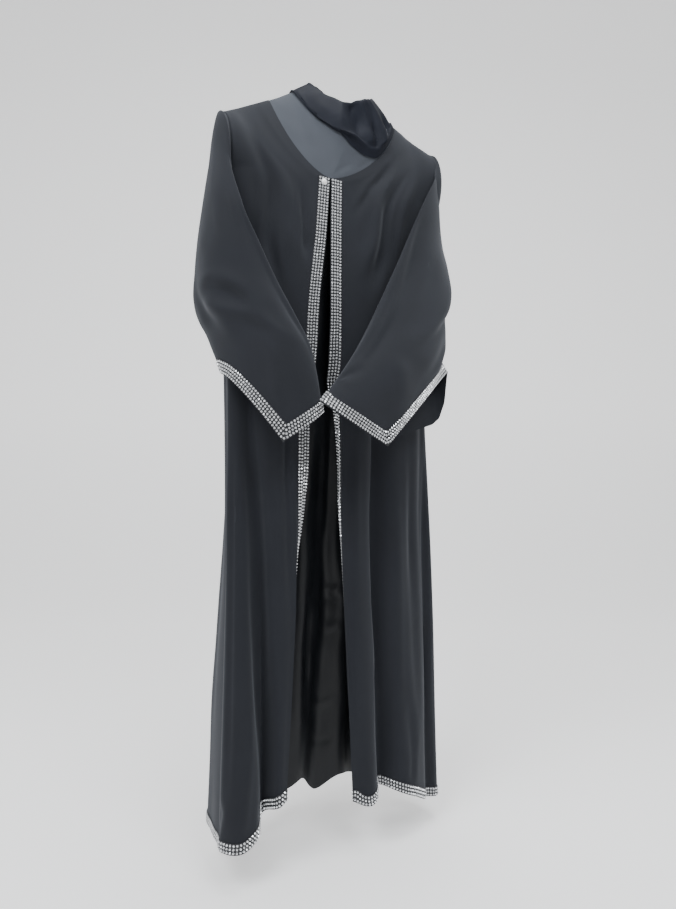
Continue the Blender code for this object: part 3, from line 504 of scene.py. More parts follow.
def rise_angle(rise):
    """Armhole angle in front at a share of the way from the underarm (0) to the shoulder tip (1)."""
    return math.pi * (rise - 0.5)


def from_underarm(z, share):
    """Height at a share of the way from the underarm (0) to another height (1)."""
    return UNDERARM_Z + (z - UNDERARM_Z) * share


def strip_start(side, z):
    return np.array([edge(side + "_x", z), section("front_y", z), z])


def fold_down(z):
    return float(np.clip((FOLD_TOP_Z - z) / (FOLD_TOP_Z - FOLD_LOW_Z), 0, 1))


def fold_shift(panel, places, down):
    """How far the folds push a row of a panel out or in, for each place along it."""
    shift = np.zeros_like(places)
    for fold in FOLDS:
        if fold.panel == panel:
            place = fold.top_place + (fold.hem_place - fold.top_place) * down
            out = (fold.top_out + (fold.hem_out - fold.top_out) * down) * min(1.0, down / 0.12)
            shift += out * np.exp(-((places - place) / fold.width) ** 2)
    return shift


def pushed(points, shift, sign):
    """A row moved along its own outward direction in plan."""
    along = np.gradient(points[:, :2], axis=0)
    out = unit(np.stack([along[:, 1], -along[:, 0]], axis=1)) * sign
    moved = points.copy()
    moved[:, :2] += out * shift[:, None]
    return moved


def side_seam(side, z):
    return np.array([section(side + "_x", z), section("side_y", z), z])


def front_row(side, outer, start, turn, down, strip_width):
    """One row of a front, from its outer end to the start of its edge strip, then along the strip."""
    sign = side_values(side)[0]
    angle = np.linspace(0, math.pi / 2, ROW_SAMPLES)
    across = 1 - np.cos(angle)
    base = np.stack([outer[0] + (start[0] - outer[0]) * across,
                     outer[1] + (start[1] - outer[1]) * np.sin(angle) ** FRONT_CURVE,
                     outer[2] + (start[2] - outer[2]) * across], axis=1)
    places = np.linspace(0, 1, FRONT_COLUMNS + 1)
    rolled = float(ease(turn / FULL_ROLL_TURN))
    flat = FRONT_COLUMNS - ROLL_COLUMNS
    near = np.r_[np.linspace(0, 1 + (flat / FRONT_COLUMNS - 1) * (1 - rolled), flat + 1),
                 places[flat + 1:]]
    main = arc_places(base, near)
    if down > 0:
        calm = np.clip(near / 0.10, 0, 1) * np.clip((1.02 - near) / 0.12, 0, 1)
        main = pushed(main, fold_shift(side + "_front", near, down) * calm, -sign)
    bend = math.radians(turn)
    bent = np.array([-sign * math.cos(bend), math.sin(bend), 0])
    for i in range(1, ROLL_COLUMNS + 1):
        plain = main[flat + i] * (1 - rolled)
        main[flat + i] = plain + (main[flat] + bent * ROLL_STEP * i) * rolled
    steps = np.arange(1, STRIP_COLUMNS + 1)[:, None] * strip_width / STRIP_COLUMNS
    return np.vstack([main, main[-1] + bent * steps])


def front_neckline(side, rise):
    """Neckline point of a front at a share of the way from its underarm to its shoulder."""
    sign, _, neck = side_values(side)
    low_x = edge(side + "_x", NECK_FRONT_Z) - sign * strip_width()
    low_y = section("front_y", NECK_FRONT_Z)
    turn = math.pi / 2 * (1 - rise) / (1 - NECK_SHARE)
    curve = RIGHT_NECK_CURVE if side == "right" else LEFT_NECK_CURVE
    return np.array([low_x + (neck[0] - low_x) * max(math.cos(turn), 0) ** curve,
                     low_y * math.sin(turn) ** 0.8,
                     neck[1] + (NECK_FRONT_Z - neck[1]) * math.sin(turn) ** curve])


def strip_width():
    return bpy.context.scene.abaya_sizes.front_band


def front_points(side):
    """Outer points of a front: rows from the hem up to the shoulder, columns from the side to the edge."""
    places = np.r_[np.linspace(0, 1, FRONT_COLUMNS + 1), [1.0] * STRIP_COLUMNS]
    hem = table_curve(HEMS[side + "_front"], places)
    width = strip_width()
    rows = []
    for level in np.linspace(1, 0, SKIRT_ROWS, endpoint=False):
        z = from_underarm(hem[-1], level)
        outer = side_seam(side, from_underarm(hem[0], level))
        turn = edge(side + "_turn", z)
        row = front_row(side, outer, strip_start(side, z), turn, fold_down(z), width)
        row[:, 2] = from_underarm(hem, level)
        rows.append(row)
    for rise in np.linspace(0, 1, UPPER_ROWS + 1):
        outer = armhole_point(side, rise_angle(rise))
        if rise <= NECK_SHARE + 1e-9:
            z = from_underarm(NECK_FRONT_Z, rise / NECK_SHARE)
            rows.append(front_row(side, outer, strip_start(side, z), 0, 0, width))
            continue
        end = front_neckline(side, rise)
        level_out = np.array([side_values(side)[0], 0, 0])
        steer = float(ease((rise - NECK_SHARE) / 0.25))
        slanted = unit((outer - end) * np.array([1, 0, 1]))
        start = end + width * unit(level_out * (1 - steer) + slanted * steer)
        row = front_row(side, outer, start, 0, 0, width)
        for i in range(1, STRIP_COLUMNS + 1):
            row[FRONT_COLUMNS + i] = start + (end - start) * i / STRIP_COLUMNS
        rows.append(row)
    grid = relaxed(np.array(rows), SKIRT_ROWS - 6)
    upper = grid[SKIRT_ROWS:]
    angles = rise_angle(np.linspace(0, 1, UPPER_ROWS + 1))[:, None]
    upper[:, :, 1] -= shoulder_fill(angles, distance_in(upper, 1))
    grid[:, :, 1] -= SEAM / 2
    return grid


def relaxed(grid, first):
    """A front whose rows from the underarm up are evened out; its sides and its strip stay."""
    rows = np.arange(len(grid))
    share = ease((rows - first) / 10) * ease((len(grid) - 1 - rows) / 8)
    places = np.arange(grid.shape[1])
    across = ease(places / 6) * ease((FRONT_COLUMNS - places) / 6)
    down = (share[:, None] * across)[..., None] * 0.5
    above_neck = ease((rows - SKIRT_ROWS - NECK_SHARE * UPPER_ROWS) / 8) * ease((len(grid) - 1 - rows) / 3)
    beside = ease((places - FRONT_COLUMNS + 16) / 10) * (places < grid.shape[1] - 1)
    along = (above_neck[:, None] * beside)[..., None] * 0.5
    return settled(grid, down, along)


def settled(grid, down, along=0.0):
    """A grid evened out over its rows and along them, by the given shares at each place."""
    for _ in range(SETTLE_PASSES):
        for axis, share in enumerate((down, along)):
            middle = (np.roll(grid, 1, axis=axis) + np.roll(grid, -1, axis=axis)) / 2
            grid = grid + share * (middle - grid)
    return grid


def back_top():
    """Top row of the back: right shoulder seam, back neckline, left shoulder seam."""
    tips = [np.array([p[0], 0, p[1]]) for p in (RIGHT_TIP, RIGHT_NECK, LEFT_NECK, LEFT_TIP)]
    points = []
    for place in np.linspace(0, 1, BACK_COLUMNS + 1):
        if place <= SHOULDER_SHARE + 1e-9:
            points.append(tips[0] + (tips[1] - tips[0]) * place / SHOULDER_SHARE)
        elif place >= 1 - SHOULDER_SHARE - 1e-9:
            points.append(tips[3] + (tips[2] - tips[3]) * (1 - place) / SHOULDER_SHARE)
        else:
            turn = math.pi * (place - SHOULDER_SHARE) / (1 - 2 * SHOULDER_SHARE)
            point = tips[1] + (tips[2] - tips[1]) * (1 - math.cos(turn)) / 2
            point[1] = BACK_NECK_Y * math.sin(turn) ** BACK_NECK_CURVE
            point[2] -= BACK_NECK_DROP * math.sin(turn)
            points.append(point)
    return np.array(points)


def back_row(right, left, back_y):
    """One row of the back between its two outer ends."""
    angle = np.linspace(0, math.pi, BACK_ROW_SAMPLES)
    across = (1 - np.cos(angle)) / 2
    ends_y = right[1] + (left[1] - right[1]) * across
    base = np.stack([right[0] + (left[0] - right[0]) * across,
                     ends_y + (back_y - ends_y) * np.sin(angle) ** BACK_CURVE,
                     right[2] + (left[2] - right[2]) * across], axis=1)
    return arc_places(base, np.linspace(0, 1, BACK_COLUMNS + 1))


def back_points():
    """Outer points of the back: rows from the hem up to the shoulders, columns from right to left."""
    places = np.linspace(0, 1, BACK_COLUMNS + 1)
    hem = table_curve(HEMS["back"], places)
    rows = []
    for level in np.linspace(1, 0, SKIRT_ROWS, endpoint=False):
        right = side_seam("right", from_underarm(hem[0], level))
        left = side_seam("left", from_underarm(hem[-1], level))
        z = (right[2] + left[2]) / 2
        row = back_row(right, left, section("back_y", z))
        calm = np.clip(places / 0.06, 0, 1) * np.clip((1 - places) / 0.06, 0, 1)
        row = pushed(row, fold_shift("back", places, fold_down(z)) * calm, -1)
        row[:, 2] = from_underarm(hem, level)
        rows.append(row)
    top = back_top()
    for rise in np.linspace(0, 1, UPPER_ROWS + 1):
        right = armhole_point("right", math.pi - rise_angle(rise))
        left = armhole_point("left", math.pi - rise_angle(rise))
        up = (right[2] - UNDERARM_Z) / (RIGHT_TIP[1] - UNDERARM_Z)
        row = back_row(right, left, section("back_y", right[2]))
        row = row * (1 - up ** SHOULDER_BLEND) + top * up ** SHOULDER_BLEND
        row[:, 2] = from_underarm(top[:, 2], up)
        row[0] = right
        row[-1] = left
        rows.append(row)
    near = np.exp(-((np.arange(len(rows)) - SKIRT_ROWS) / 10) ** 2)
    across = ease(places * BACK_COLUMNS / 5) * ease((1 - places) * BACK_COLUMNS / 5)
    grid = settled(np.array(rows), (near[:, None] * across)[..., None] * 0.5)
    grid[:, :, 1] += SEAM / 2
    return grid


def shoulder_fill(angle, gap):
    """How far forward the cloth at an armhole's upper front comes, so that no valley runs down its seam."""
    height = np.abs(np.sin(2 * np.clip(angle, 0, math.pi / 2))) ** 0.8
    return SHOULDER_FILL * height * (1 - ease(gap / SHOULDER_FILL_REACH))


def sleeve_ring(ring, angles):
    """Points of a flattened ring: angle 0 is its front edge, 90 degrees the middle of its outer wall."""
    front, outer, back, inner = (np.array(p) for p in ring)
    middle = (outer + inner) / 2
    lift = (outer - inner) / 2
    share = ((1 - np.cos(angles)) / 2)[:, None]
    centre = bow_through(front, middle, back, share)
    rise = np.sign(np.sin(angles)) * np.abs(np.sin(angles)) ** RING_CORNER
    return centre + lift * rise[:, None]


def cuff_heights(cuff, angles):
    """Height of the cuff's edge round its ring."""
    share = (1 - np.cos(angles)) / 2
    outer, inner = (np.interp(share, *zip(*cuff[wall])) for wall in ("outer", "inner"))
    return np.where(np.sin(angles) >= -1e-9, outer, inner)


def through(stations, at):
    """A smooth curve through rings or rows of points, at a position counted in stations."""
    count = len(stations)
    i = min(int(at), count - 2)
    t = at - i
    p1, p2 = stations[i], stations[i + 1]
    p0 = stations[i - 1] if i > 0 else 2 * p1 - p2
    p3 = stations[i + 2] if i + 2 < count else 2 * p2 - p1
    return 0.5 * (2 * p1 + (p2 - p0) * t + (2 * p0 - 5 * p1 + 4 * p2 - p3) * t ** 2
                  + (3 * p1 - p0 - 3 * p2 + p3) * t ** 3)


def rows_through(rows, count):
    """Rows spaced evenly along smooth curves through the given rows, with no overshoot."""
    rows = np.array(rows)
    gaps = np.linalg.norm(np.diff(rows, axis=0), axis=2).mean(axis=1)
    keys = np.r_[0, np.cumsum(gaps)]
    at = np.linspace(0, keys[-1], count)
    values = rows.reshape(len(rows), -1)
    made = [smooth(keys, values[:, i], at) for i in range(values.shape[1])]
    return np.stack(made, axis=1).reshape(count, *rows.shape[1:])


def sleeve_points(side):
    """Outer points of a sleeve: rows from the armhole to the cuff, columns round it."""
    rings = RIGHT_RINGS if side == "right" else LEFT_RINGS
    cuff = RIGHT_CUFF if side == "right" else LEFT_CUFF
    angles = np.linspace(0, 2 * math.pi, SLEEVE_COLUMNS, endpoint=False)
    hole = np.array([armhole_point(side, a) for a in angles])
    sign = side_values(side)[0]
    hole[:, 0] += sign * SEAM
    turned = hole + np.array([sign, 1, 1]) * SLEEVE_TURN
    stations = [hole, turned] + [sleeve_ring(ring, angles) for ring in rings]
    stations[-1][:, 2] = cuff_heights(cuff, angles)
    places = np.arange(1, len(stations) - 0.75, 0.5)
    grid = rows_through([hole] + [through(stations, at) for at in places], SLEEVE_ROWS)
    grid[:, :, 1] -= shoulder_fill(angles[None, :], distance_in(grid, 0))
    return grid


def grid_normals(grid, closed=False):
    """Unit normals of a grid; the caller turns them to the right side."""
    if closed:
        along = (np.roll(grid, -1, axis=1) - np.roll(grid, 1, axis=1)) / 2
    else:
        along = np.gradient(grid, axis=1)
    return unit(np.cross(along, np.gradient(grid, axis=0)))


def path_distance(flat, points, wrap):
    """Distance of each place to a path, with its sign, and the share of the path where it is nearest."""
    best = np.full(flat.shape[:2], np.inf)
    signed = np.zeros(flat.shape[:2])
    share = np.zeros(flat.shape[:2])
    count = len(points) - 1
    for i in range(count):
        step = points[i + 1] - points[i]
        away = flat - points[i]
        if wrap:
            away[..., 0] = (away[..., 0] + wrap / 2) % wrap - wrap / 2
        t = np.clip(away @ step / (step @ step), 0, 1)
        gap = np.linalg.norm(away - t[..., None] * step, axis=2)
        near = gap < best
        best[near] = gap[near]
        share[near] = ((i + t) / count)[near]
        across = (away[..., 1] * step[0] - away[..., 0] * step[1]) / np.linalg.norm(step)
        signed[near] = across[near]
    return best, signed, share


def crease_push(flat, creases, scale, wrap=0.0):
    """How far the creases push each place of a piece out of its surface."""
    push = np.zeros(flat.shape[:2])
    for number, crease in enumerate(creases):
        start = np.array([crease.across0, crease.down0]) * scale
        middle = np.array([crease.across1, crease.down1]) * scale
        end = np.array([crease.across2, crease.down2]) * scale
        path = bow_through(start, middle, end, np.linspace(0, 1, CREASE_STEPS)[:, None])
        gap, signed, share = path_distance(flat, path, wrap)
        uneven = 1 + 0.20 * np.sin(8.0 * share + 1.7 * number) + 0.10 * np.sin(19.0 * share + number)
        width = crease.width * (1 + 0.25 * np.sin(6.0 * share + 2.3 * number))
        width = width * (1 - crease.skew * np.tanh(signed / crease.width))
        x = gap / width
        profile = np.exp(-x ** 2) - RIM_HEIGHT * np.exp(-(x - RIM_PLACE) ** 2)
        taper = ease(share / CREASE_FADE) * ease((1 - share) / CREASE_FADE)
        push += crease.depth * profile * taper * uneven
    return push * bpy.context.scene.abaya_sizes.crease_strength


def ripple_push(flat, ripple, wrap=0.0):
    """Slow unevenness, as a sum of a few slanted waves."""
    random = np.random.default_rng(ripple.seed)
    push = np.zeros(flat.shape[:2])
    for _ in range(RIPPLE_WAVES):
        turns = 2 * math.pi / (ripple.across * random.uniform(0.7, 1.9))
        if wrap:
            turns = 2 * math.pi * max(1, round(turns * wrap / (2 * math.pi))) / wrap
        rise = 2 * math.pi / (ripple.down * random.uniform(0.6, 1.8)) * random.choice([-1, 1])
        phase = random.uniform(0, 2 * math.pi)
        bend = 0.8 * np.sin(flat[..., 1] * rise * 0.6 + 2 * phase)
        push += np.sin(flat[..., 0] * turns + flat[..., 1] * rise + phase + bend) * random.uniform(0.5, 1.0)
    return push * ripple.height / 2.2


Cloth = namedtuple("Cloth", "points out flat closed")


def creased(name, points, sign, flat, scale, calm, closed=False):
    """A piece's surface with its creases: outer points, outward normals and flat places in metres.

    The sign turns the grid's normals outwards. It is one for the whole piece, or one at each place of a ring,
    and then it is found again from the normals before.
    """
    wrap = scale[0] if closed else 0.0
    push = crease_push(flat, CREASES[name], scale, wrap) + ripple_push(flat, RIPPLES[name], wrap)
    before = grid_normals(points, closed) * sign
    points = points + before * (push * calm)[..., None]
    out = grid_normals(points, closed)
    if np.ndim(sign):
        sign = np.sign(np.sum(out * before, axis=2, keepdims=True) + 1e-9)
    return Cloth(points, out * sign, flat, closed)


def hung_cloth(name, points, sign, across, calm):
    """A creased panel whose flat places run across by share and down by height."""
    width = grid_length(points, 1)
    flat = np.stack([across * width, points[..., 2]], axis=2)
    return creased(name, points, sign, flat, np.array([width, 1.0]), calm)


@functools.cache
def body_cloth():
    """The two fronts and the back, creased, with seams kept where they meet."""
    made = {}
    for side in ("right", "left"):
        points = front_points(side)
        sign = -side_values(side)[0]
        places = np.r_[np.linspace(0, 1, FRONT_COLUMNS + 1),
                       1 + np.arange(1, STRIP_COLUMNS + 1) * 0.10 / STRIP_COLUMNS]
        across = np.broadcast_to(places, points.shape[:2])
        calm = ease(across / 0.10) * (1 - 0.75 * ease((across - 0.93) / 0.10))
        calm = calm * shoulder_calm(len(points))[:, None]
        cloth = hung_cloth(side + "_front", points, sign, across, calm)
        normals = cloth.out.copy()
        normals[:, 0] = (-sign, 0, 0)
        normals[-1, :] = shoulder_normal(side)
        made[side] = cloth._replace(out=normals)
    points = back_points()
    across = np.broadcast_to(np.linspace(0, 1, BACK_COLUMNS + 1), points.shape[:2])
    calm = ease(across / 0.07) * ease((1 - across) / 0.07) * shoulder_calm(len(points))[:, None]
    cloth = hung_cloth("back", points, 1, across, calm)
    normals = cloth.out * np.where(cloth.out[:, BACK_COLUMNS // 2, 1].mean() < 0, -1, 1)
    normals[:, 0] = (-1, 0, 0)
    normals[:, -1] = (1, 0, 0)
    count = round(SHOULDER_SHARE * BACK_COLUMNS)
    normals[-1, :count + 1] = shoulder_normal("right")
    normals[-1, -count - 1:] = shoulder_normal("left")
    made["back"] = cloth._replace(out=normals)
    return made


def shoulder_calm(rows):
    """Keeps creases off the shoulder seams, and leaves the hem free."""
    from_top = (rows - 1 - np.arange(rows)) / UPPER_ROWS
    return ease(from_top / 0.22)


def shoulder_normal(side):
    """Upward normal shared by front and back along a shoulder seam."""
    sign, tip, neck = side_values(side)
    run = np.array([neck[0] - tip[0], 0, neck[1] - tip[1]])
    return unit(np.array([-run[2], 0, run[0]]) * -sign)


@functools.cache
def sleeve_cloth(side):
    """A sleeve, creased, with its armhole seam left where the body has it."""
    points = sleeve_points(side)
    centre = points.mean(axis=1, keepdims=True)
    sign = 1 if np.sum(grid_normals(points, True) * (points - centre)) > 0 else -1
    across = np.broadcast_to(np.arange(points.shape[1]) / points.shape[1], points.shape[:2])
    share = np.linspace(0, 1, len(points))[:, None]
    scale = np.array([grid_length(points, 1), grid_length(points, 0, np.mean)])
    flat = np.stack(np.broadcast_arrays(across * scale[0], share * scale[1]), axis=2)
    calm = ease(share / 0.12) * (1 - 0.55 * ease((share - 0.9) / 0.1))
    cloth = creased(side + "_sleeve", points, sign, flat, scale, calm, True)
    hole = cloth.points[0] - cloth.points[0].mean(axis=0)
    hole[:, 0] = 0
    cloth.out[0] = unit(hole)
    return cloth


def neck_ring(table, angles):
    """A closed smooth ring through a table of points round the neck, at angles in degrees."""
    turned = [row._replace(angle=row.angle - 360) for row in table[-2:]]
    turned += list(table) + [row._replace(angle=row.angle + 360) for row in table[:2]]
    keys = [row.angle for row in turned]
    return np.stack([smooth(keys, [getattr(row, axis) for row in turned], angles) for axis in "xyz"], axis=1)


def neckline():
    """Neckline of the sewn body and its normals, from the right of the opening round to the left."""
    body = body_cloth()
    low = SKIRT_ROWS + round(NECK_SHARE * UPPER_ROWS)
    count = round(SHOULDER_SHARE * BACK_COLUMNS)
    top = slice(count + 1, BACK_COLUMNS - count)
    rings = []
    for name in ("points", "out"):
        right = getattr(body["right"], name)[low:, -1]
        left = getattr(body["left"], name)[low:, -1]
        rings.append(np.vstack([right, getattr(body["back"], name)[-1, top], left[::-1]]))
    return rings


def neck_angles():
    rows = UPPER_ROWS - round(NECK_SHARE * UPPER_ROWS)
    count = BACK_COLUMNS - 2 * round(SHOULDER_SHARE * BACK_COLUMNS)
    side = CLOSURE_ANGLE * np.arange(rows, -1, -1) / rows
    return np.r_[side, np.linspace(360, 180, count + 1)[1:-1], 180 - side[::-1]]


def ring_cloth(name, points, middle_z):
    """A ring of cloth round the neck, creased; across counts angles as shares of a turn."""
    angles = neck_angles()
    outward = points - np.array([0.02, 0.0, middle_z])
    sign = np.sign(np.sum(grid_normals(points, True) * outward, axis=2, keepdims=True) + 1e-9)
    share = np.linspace(0, 1, len(points))[:, None]
    scale = np.array([grid_length(points, 1), grid_length(points, 0, np.mean)])
    flat = np.stack(np.broadcast_arrays((angles % 360) / 360 * scale[0], share * scale[1]), axis=2)
    return creased(name, points, sign, flat, scale, ease(share / 0.18), True)


@functools.cache
def yoke_cloth():
    """The yoke's ring, from under the neckline's edge up to the foot of the collar."""
    last, last_out = neckline()
    low = last - last_out * (bpy.context.scene.abaya_sizes.cloth + SEAM)
    base = neck_ring(COLLAR_BASE, neck_angles())
    return ring_cloth("neck_yoke", np.array([low + (base - low) * t for t in np.linspace(0, 1, 22)]), -0.2)


@functools.cache
def collar_cloth():
    """The satin collar: its foot over the yoke, a soft roll up to the rim, and the lip that turns inside."""
    angles = neck_angles()
    yoke = yoke_cloth()
    low, base = yoke.points[0], yoke.points[-1]
    rim = neck_ring(COLLAR_RIM, angles)
    drop = table_curve(COLLAR_FALLS, angles)
    share = np.clip(drop / np.linalg.norm(base - low, axis=1), 0, 0.9)
    foot = base + (low - base) * share[:, None]
    foot_out = unit(yoke.out[-1] * (1 - share[:, None]) + yoke.out[0] * share[:, None])
    lift = FRAME_LINING + COLLAR_REST
    away = unit((base - np.array([0.02, 0.0, 0.0])) * np.array([1, 1, 0]))
    puff = 0.25 + 0.75 * ease(np.abs((angles + 180) % 360 - 180) / 60)
    puff = (puff * (1 - 0.5 * np.exp(-((angles - 190) / 22) ** 2)))[:, None]
    up = np.array([0, 0, 1.0])
    stations = [
        foot + foot_out * lift,
        base * 0.5 + foot * 0.5 + foot_out * (lift + 0.0035 * puff),
        base + yoke.out[-1] * lift + away * 0.004 * puff,
        base * 0.55 + rim * 0.45 + away * 0.0075 * puff,
        rim + away * 0.0025 * puff - up * 0.003,
        rim - away * 0.006 + up * 0.001,
        rim * 0.7 + base * 0.3 - away * 0.013,
        rim * 0.3 + base * 0.7 - away * 0.012,
    ]
    places = np.linspace(0, len(stations) - 1, 64)
    return ring_cloth("collar", np.array([through(stations, at) for at in places]), -0.05)


@functools.cache
def lining_cloth():
    """The satin behind the opening, from under the yoke down to its own plain hem."""
    places = np.linspace(0, 1, LINING_COLUMNS + 1)
    side_in = FRAME_CLOTH + LINING_REST
    hem = table_curve(LINING_HEM, places)
    top = -0.262 + 0.100 * np.clip(1 - (np.abs(places - 0.47) / 0.36) ** 2, 0, 1) ** 0.5
    rows = []
    for level in np.linspace(1, 0, LINING_ROWS):
        z = top + (hem - top) * level
        right = column(SECTIONS, "right_x", z) + side_in
        left = column(SECTIONS, "left_x", z) - side_in
        side_y = column(SECTIONS, "side_y", z)
        y = side_y + (table_curve(LINING_DEPTH, z) - side_y) * np.sin(math.pi * places) ** 0.7
        wave = sum(out * np.exp(-((places - place) / 0.045) ** 2) for place, out in LINING_FOLDS)
        rows.append(np.stack([right + (left - right) * places, y + wave * level ** 0.8, z], axis=1))
    points = np.array(rows)
    across = np.broadcast_to(places, points.shape[:2])
    calm = ease(across / 0.08) * ease((1 - across) / 0.08)
    sign = -1 if grid_normals(points)[:, LINING_COLUMNS // 2, 1].mean() > 0 else 1
    return hung_cloth("satin_lining", points, sign, across, calm)


# Meshes


def put_in_scene(name, data):
    """An object of a mesh, lamp or camera, in the scene."""
    made = bpy.data.objects.new(name, data)
    bpy.context.scene.collection.objects.link(made)
    return made


def mesh_piece(name, points, faces, corners, look):
    """A mesh object at the origin with its flat places as a UV map in metres."""
    mesh = bpy.data.meshes.new(name)
    mesh.from_pydata(points.tolist(), [], faces)
    layer = mesh.uv_layers.new(name="cloth")
    layer.data.foreach_set("uv", np.asarray(corners, float).ravel())
    mesh.materials.append(look)
    mesh.update()
    mesh.shade_smooth()
    return put_in_scene(name, mesh)


def shell(name, cloth, low, high, look):
    """A closed thin shell between two heights above a cloth's surface."""
    outer = cloth.points + cloth.out * high
    inner = cloth.points + cloth.out * low
    rows, columns = outer.shape[:2]
    count = rows * columns
    spans = columns if cloth.closed else columns - 1
    i, j = np.meshgrid(np.arange(rows - 1), np.arange(spans), indexing="ij")
    i, j = i.ravel(), j.ravel()
    k = (j + 1) % columns
    here, next_row = i * columns, (i + 1) * columns
    quads = np.stack([here + j, here + k, next_row + k, next_row + j], axis=1)
    flat = cloth.flat
    if cloth.closed:
        step = np.median(np.abs(np.diff(flat[:, :, 0], axis=1)))
        far = flat[:, -1:].copy()
        far[..., 0] += step
        flat = np.concatenate([flat, far], axis=1)
    uv = np.stack([flat[i, j], flat[i, j + 1], flat[i + 1, j + 1], flat[i + 1, j]], axis=1)
    a, b, d = (outer.reshape(-1, 3)[quads[:, n]] for n in (0, 1, 3))
    turned = np.sum(np.cross(b - a, d - a) * cloth.out[i, j]) < 0
    lines = []
    bottom = np.arange(columns)
    top = bottom + (rows - 1) * columns
    if cloth.closed:
        lines.append(np.r_[bottom, bottom[:1]])
        lines.append(np.r_[top, top[:1]][::-1])
    else:
        right = np.arange(rows) * columns + columns - 1
        left = np.arange(rows) * columns
        lines.append(np.r_[bottom, right[1:], top[::-1][1:], left[::-1][1:]])
    rims = [np.stack([line[1:], line[:-1], line[:-1] + count, line[1:] + count], axis=1) for line in lines]
    faces = np.vstack([quads, quads[:, ::-1] + count] + rims)
    places = np.vstack([cloth.flat.reshape(-1, 2)] * 2)
    corners = np.concatenate([uv, uv[:, ::-1]] + [places[rim] for rim in rims])
    if turned:
        faces = faces[:, ::-1]
        corners = corners[:, ::-1]
    points = np.vstack([outer.reshape(-1, 3), inner.reshape(-1, 3)])
    made = mesh_piece(name, points, faces.tolist(), corners, look)
    made.data.set_sharp_from_angle(angle=math.radians(55))
    return made


def flat_area(cloth):
    """Area of a cloth's outer surface, in square metres."""
    p = cloth.points
    if cloth.closed:
        p = np.concatenate([p, p[:, :1]], axis=1)
    return float(np.linalg.norm(np.cross(p[1:, :-1] - p[:-1, :-1], p[:-1, 1:] - p[:-1, :-1]), axis=2).sum())


def hand_over(made, node):
    """Lets a piece stand for a node of the frame, on the one body there is."""
    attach(made, "root")
    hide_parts(node)


def sew(name, cloth, thickness, look, node, slot, sewn=(), **sheet):
    """A shell of cloth in place of a node; its slot, what is sewn to it and the sheet are not used."""
    made = shell(name, cloth, -thickness, 0.0, look)
    hand_over(made, node)
    flat_area(cloth)


# Stone bands


def strip_band(side):
    """Band of a front's edge strip: across from the strip's fold to the edge, along from the hem up."""
    cloth = body_cloth()[side]
    rows = slice(0, SKIRT_ROWS + round(NECK_SHARE * UPPER_ROWS) + 1)
    points = cloth.points[rows, FRONT_COLUMNS:].transpose(1, 0, 2)
    out = cloth.out[rows, FRONT_COLUMNS:].transpose(1, 0, 2)
    return points, out


def line_distance(places, line):
    """Distance of places to a line through points."""
    start = line[:-1]
    step = np.diff(line, axis=0)
    away = places[:, None] - start
    t = np.clip(np.sum(away * step, axis=2) / (np.sum(step ** 2, axis=1) + 1e-12), 0, 1)
    return np.linalg.norm(away - t[..., None] * step, axis=2).min(axis=1)


def edge_band(cloth, columns, width, from_top):
    """Band along a cloth's first or last row: across from the edge inwards, as wide on slants."""
    points = cloth.points[:, columns]
    out = cloth.out[:, columns]
    if from_top:
        points = points[::-1]
        out = out[::-1]
    count = points.shape[1]
    steps = np.linspace(0, width, 7)
    band = np.zeros((len(steps), count, 3))
    band_out = np.zeros_like(band)
    for j in range(count):
        near = np.arange(j - EDGE_REACH, j + EDGE_REACH + 1)
        near = near % count if cloth.closed else np.clip(near, 0, count - 1)
        reach = np.maximum.accumulate(line_distance(points[:, j], points[0, near]))
        for axis in range(3):
            band[:, j, axis] = np.interp(steps, reach, points[:, j, axis])
            band_out[:, j, axis] = np.interp(steps, reach, out[:, j, axis])
    return band, unit(band_out)


def band_cloth(band, out, closed):
    """A band as a cloth of its own, with flat places along and across it."""
    middle = band[len(band) // 2]
    down = reach_along(band[:, 0])
    flat = np.stack(np.broadcast_arrays(reach_along(middle)[None, :], down[:, None]), axis=2)
    return Cloth(band, out, flat, closed)


def stone_seats(band, out, rows, pitch, margin, closed):
    """Places, normals and directions of the stones on a band."""
    if closed:
        band = np.concatenate([band, band[:, :1]], axis=1)
        out = np.concatenate([out, out[:, :1]], axis=1)
    across = margin + (1 - 2 * margin) * (np.arange(rows) + 0.5) / rows
    seats, facing, along = [], [], []
    for share in across:
        r = share * (len(band) - 1)
        i = min(int(r), len(band) - 2)
        line = band[i] * (1 - (r - i)) + band[i + 1] * (r - i)
        line_out = out[i] * (1 - (r - i)) + out[i + 1] * (r - i)
        reach = reach_along(line)
        count = max(2, round(reach[-1] / pitch))
        at = np.interp((np.arange(count) + 0.5) / count * reach[-1], reach, np.arange(len(reach)))
        j = np.minimum(at.astype(int), len(line) - 2)
        t = (at - j)[:, None]
        seats.append(line[j] * (1 - t) + line[j + 1] * t)
        facing.append(unit(line_out[j] * (1 - t) + line_out[j + 1] * t))
        along.append(unit(line[j + 1] - line[j]))
    return np.vstack(seats), np.vstack(facing), np.vstack(along)


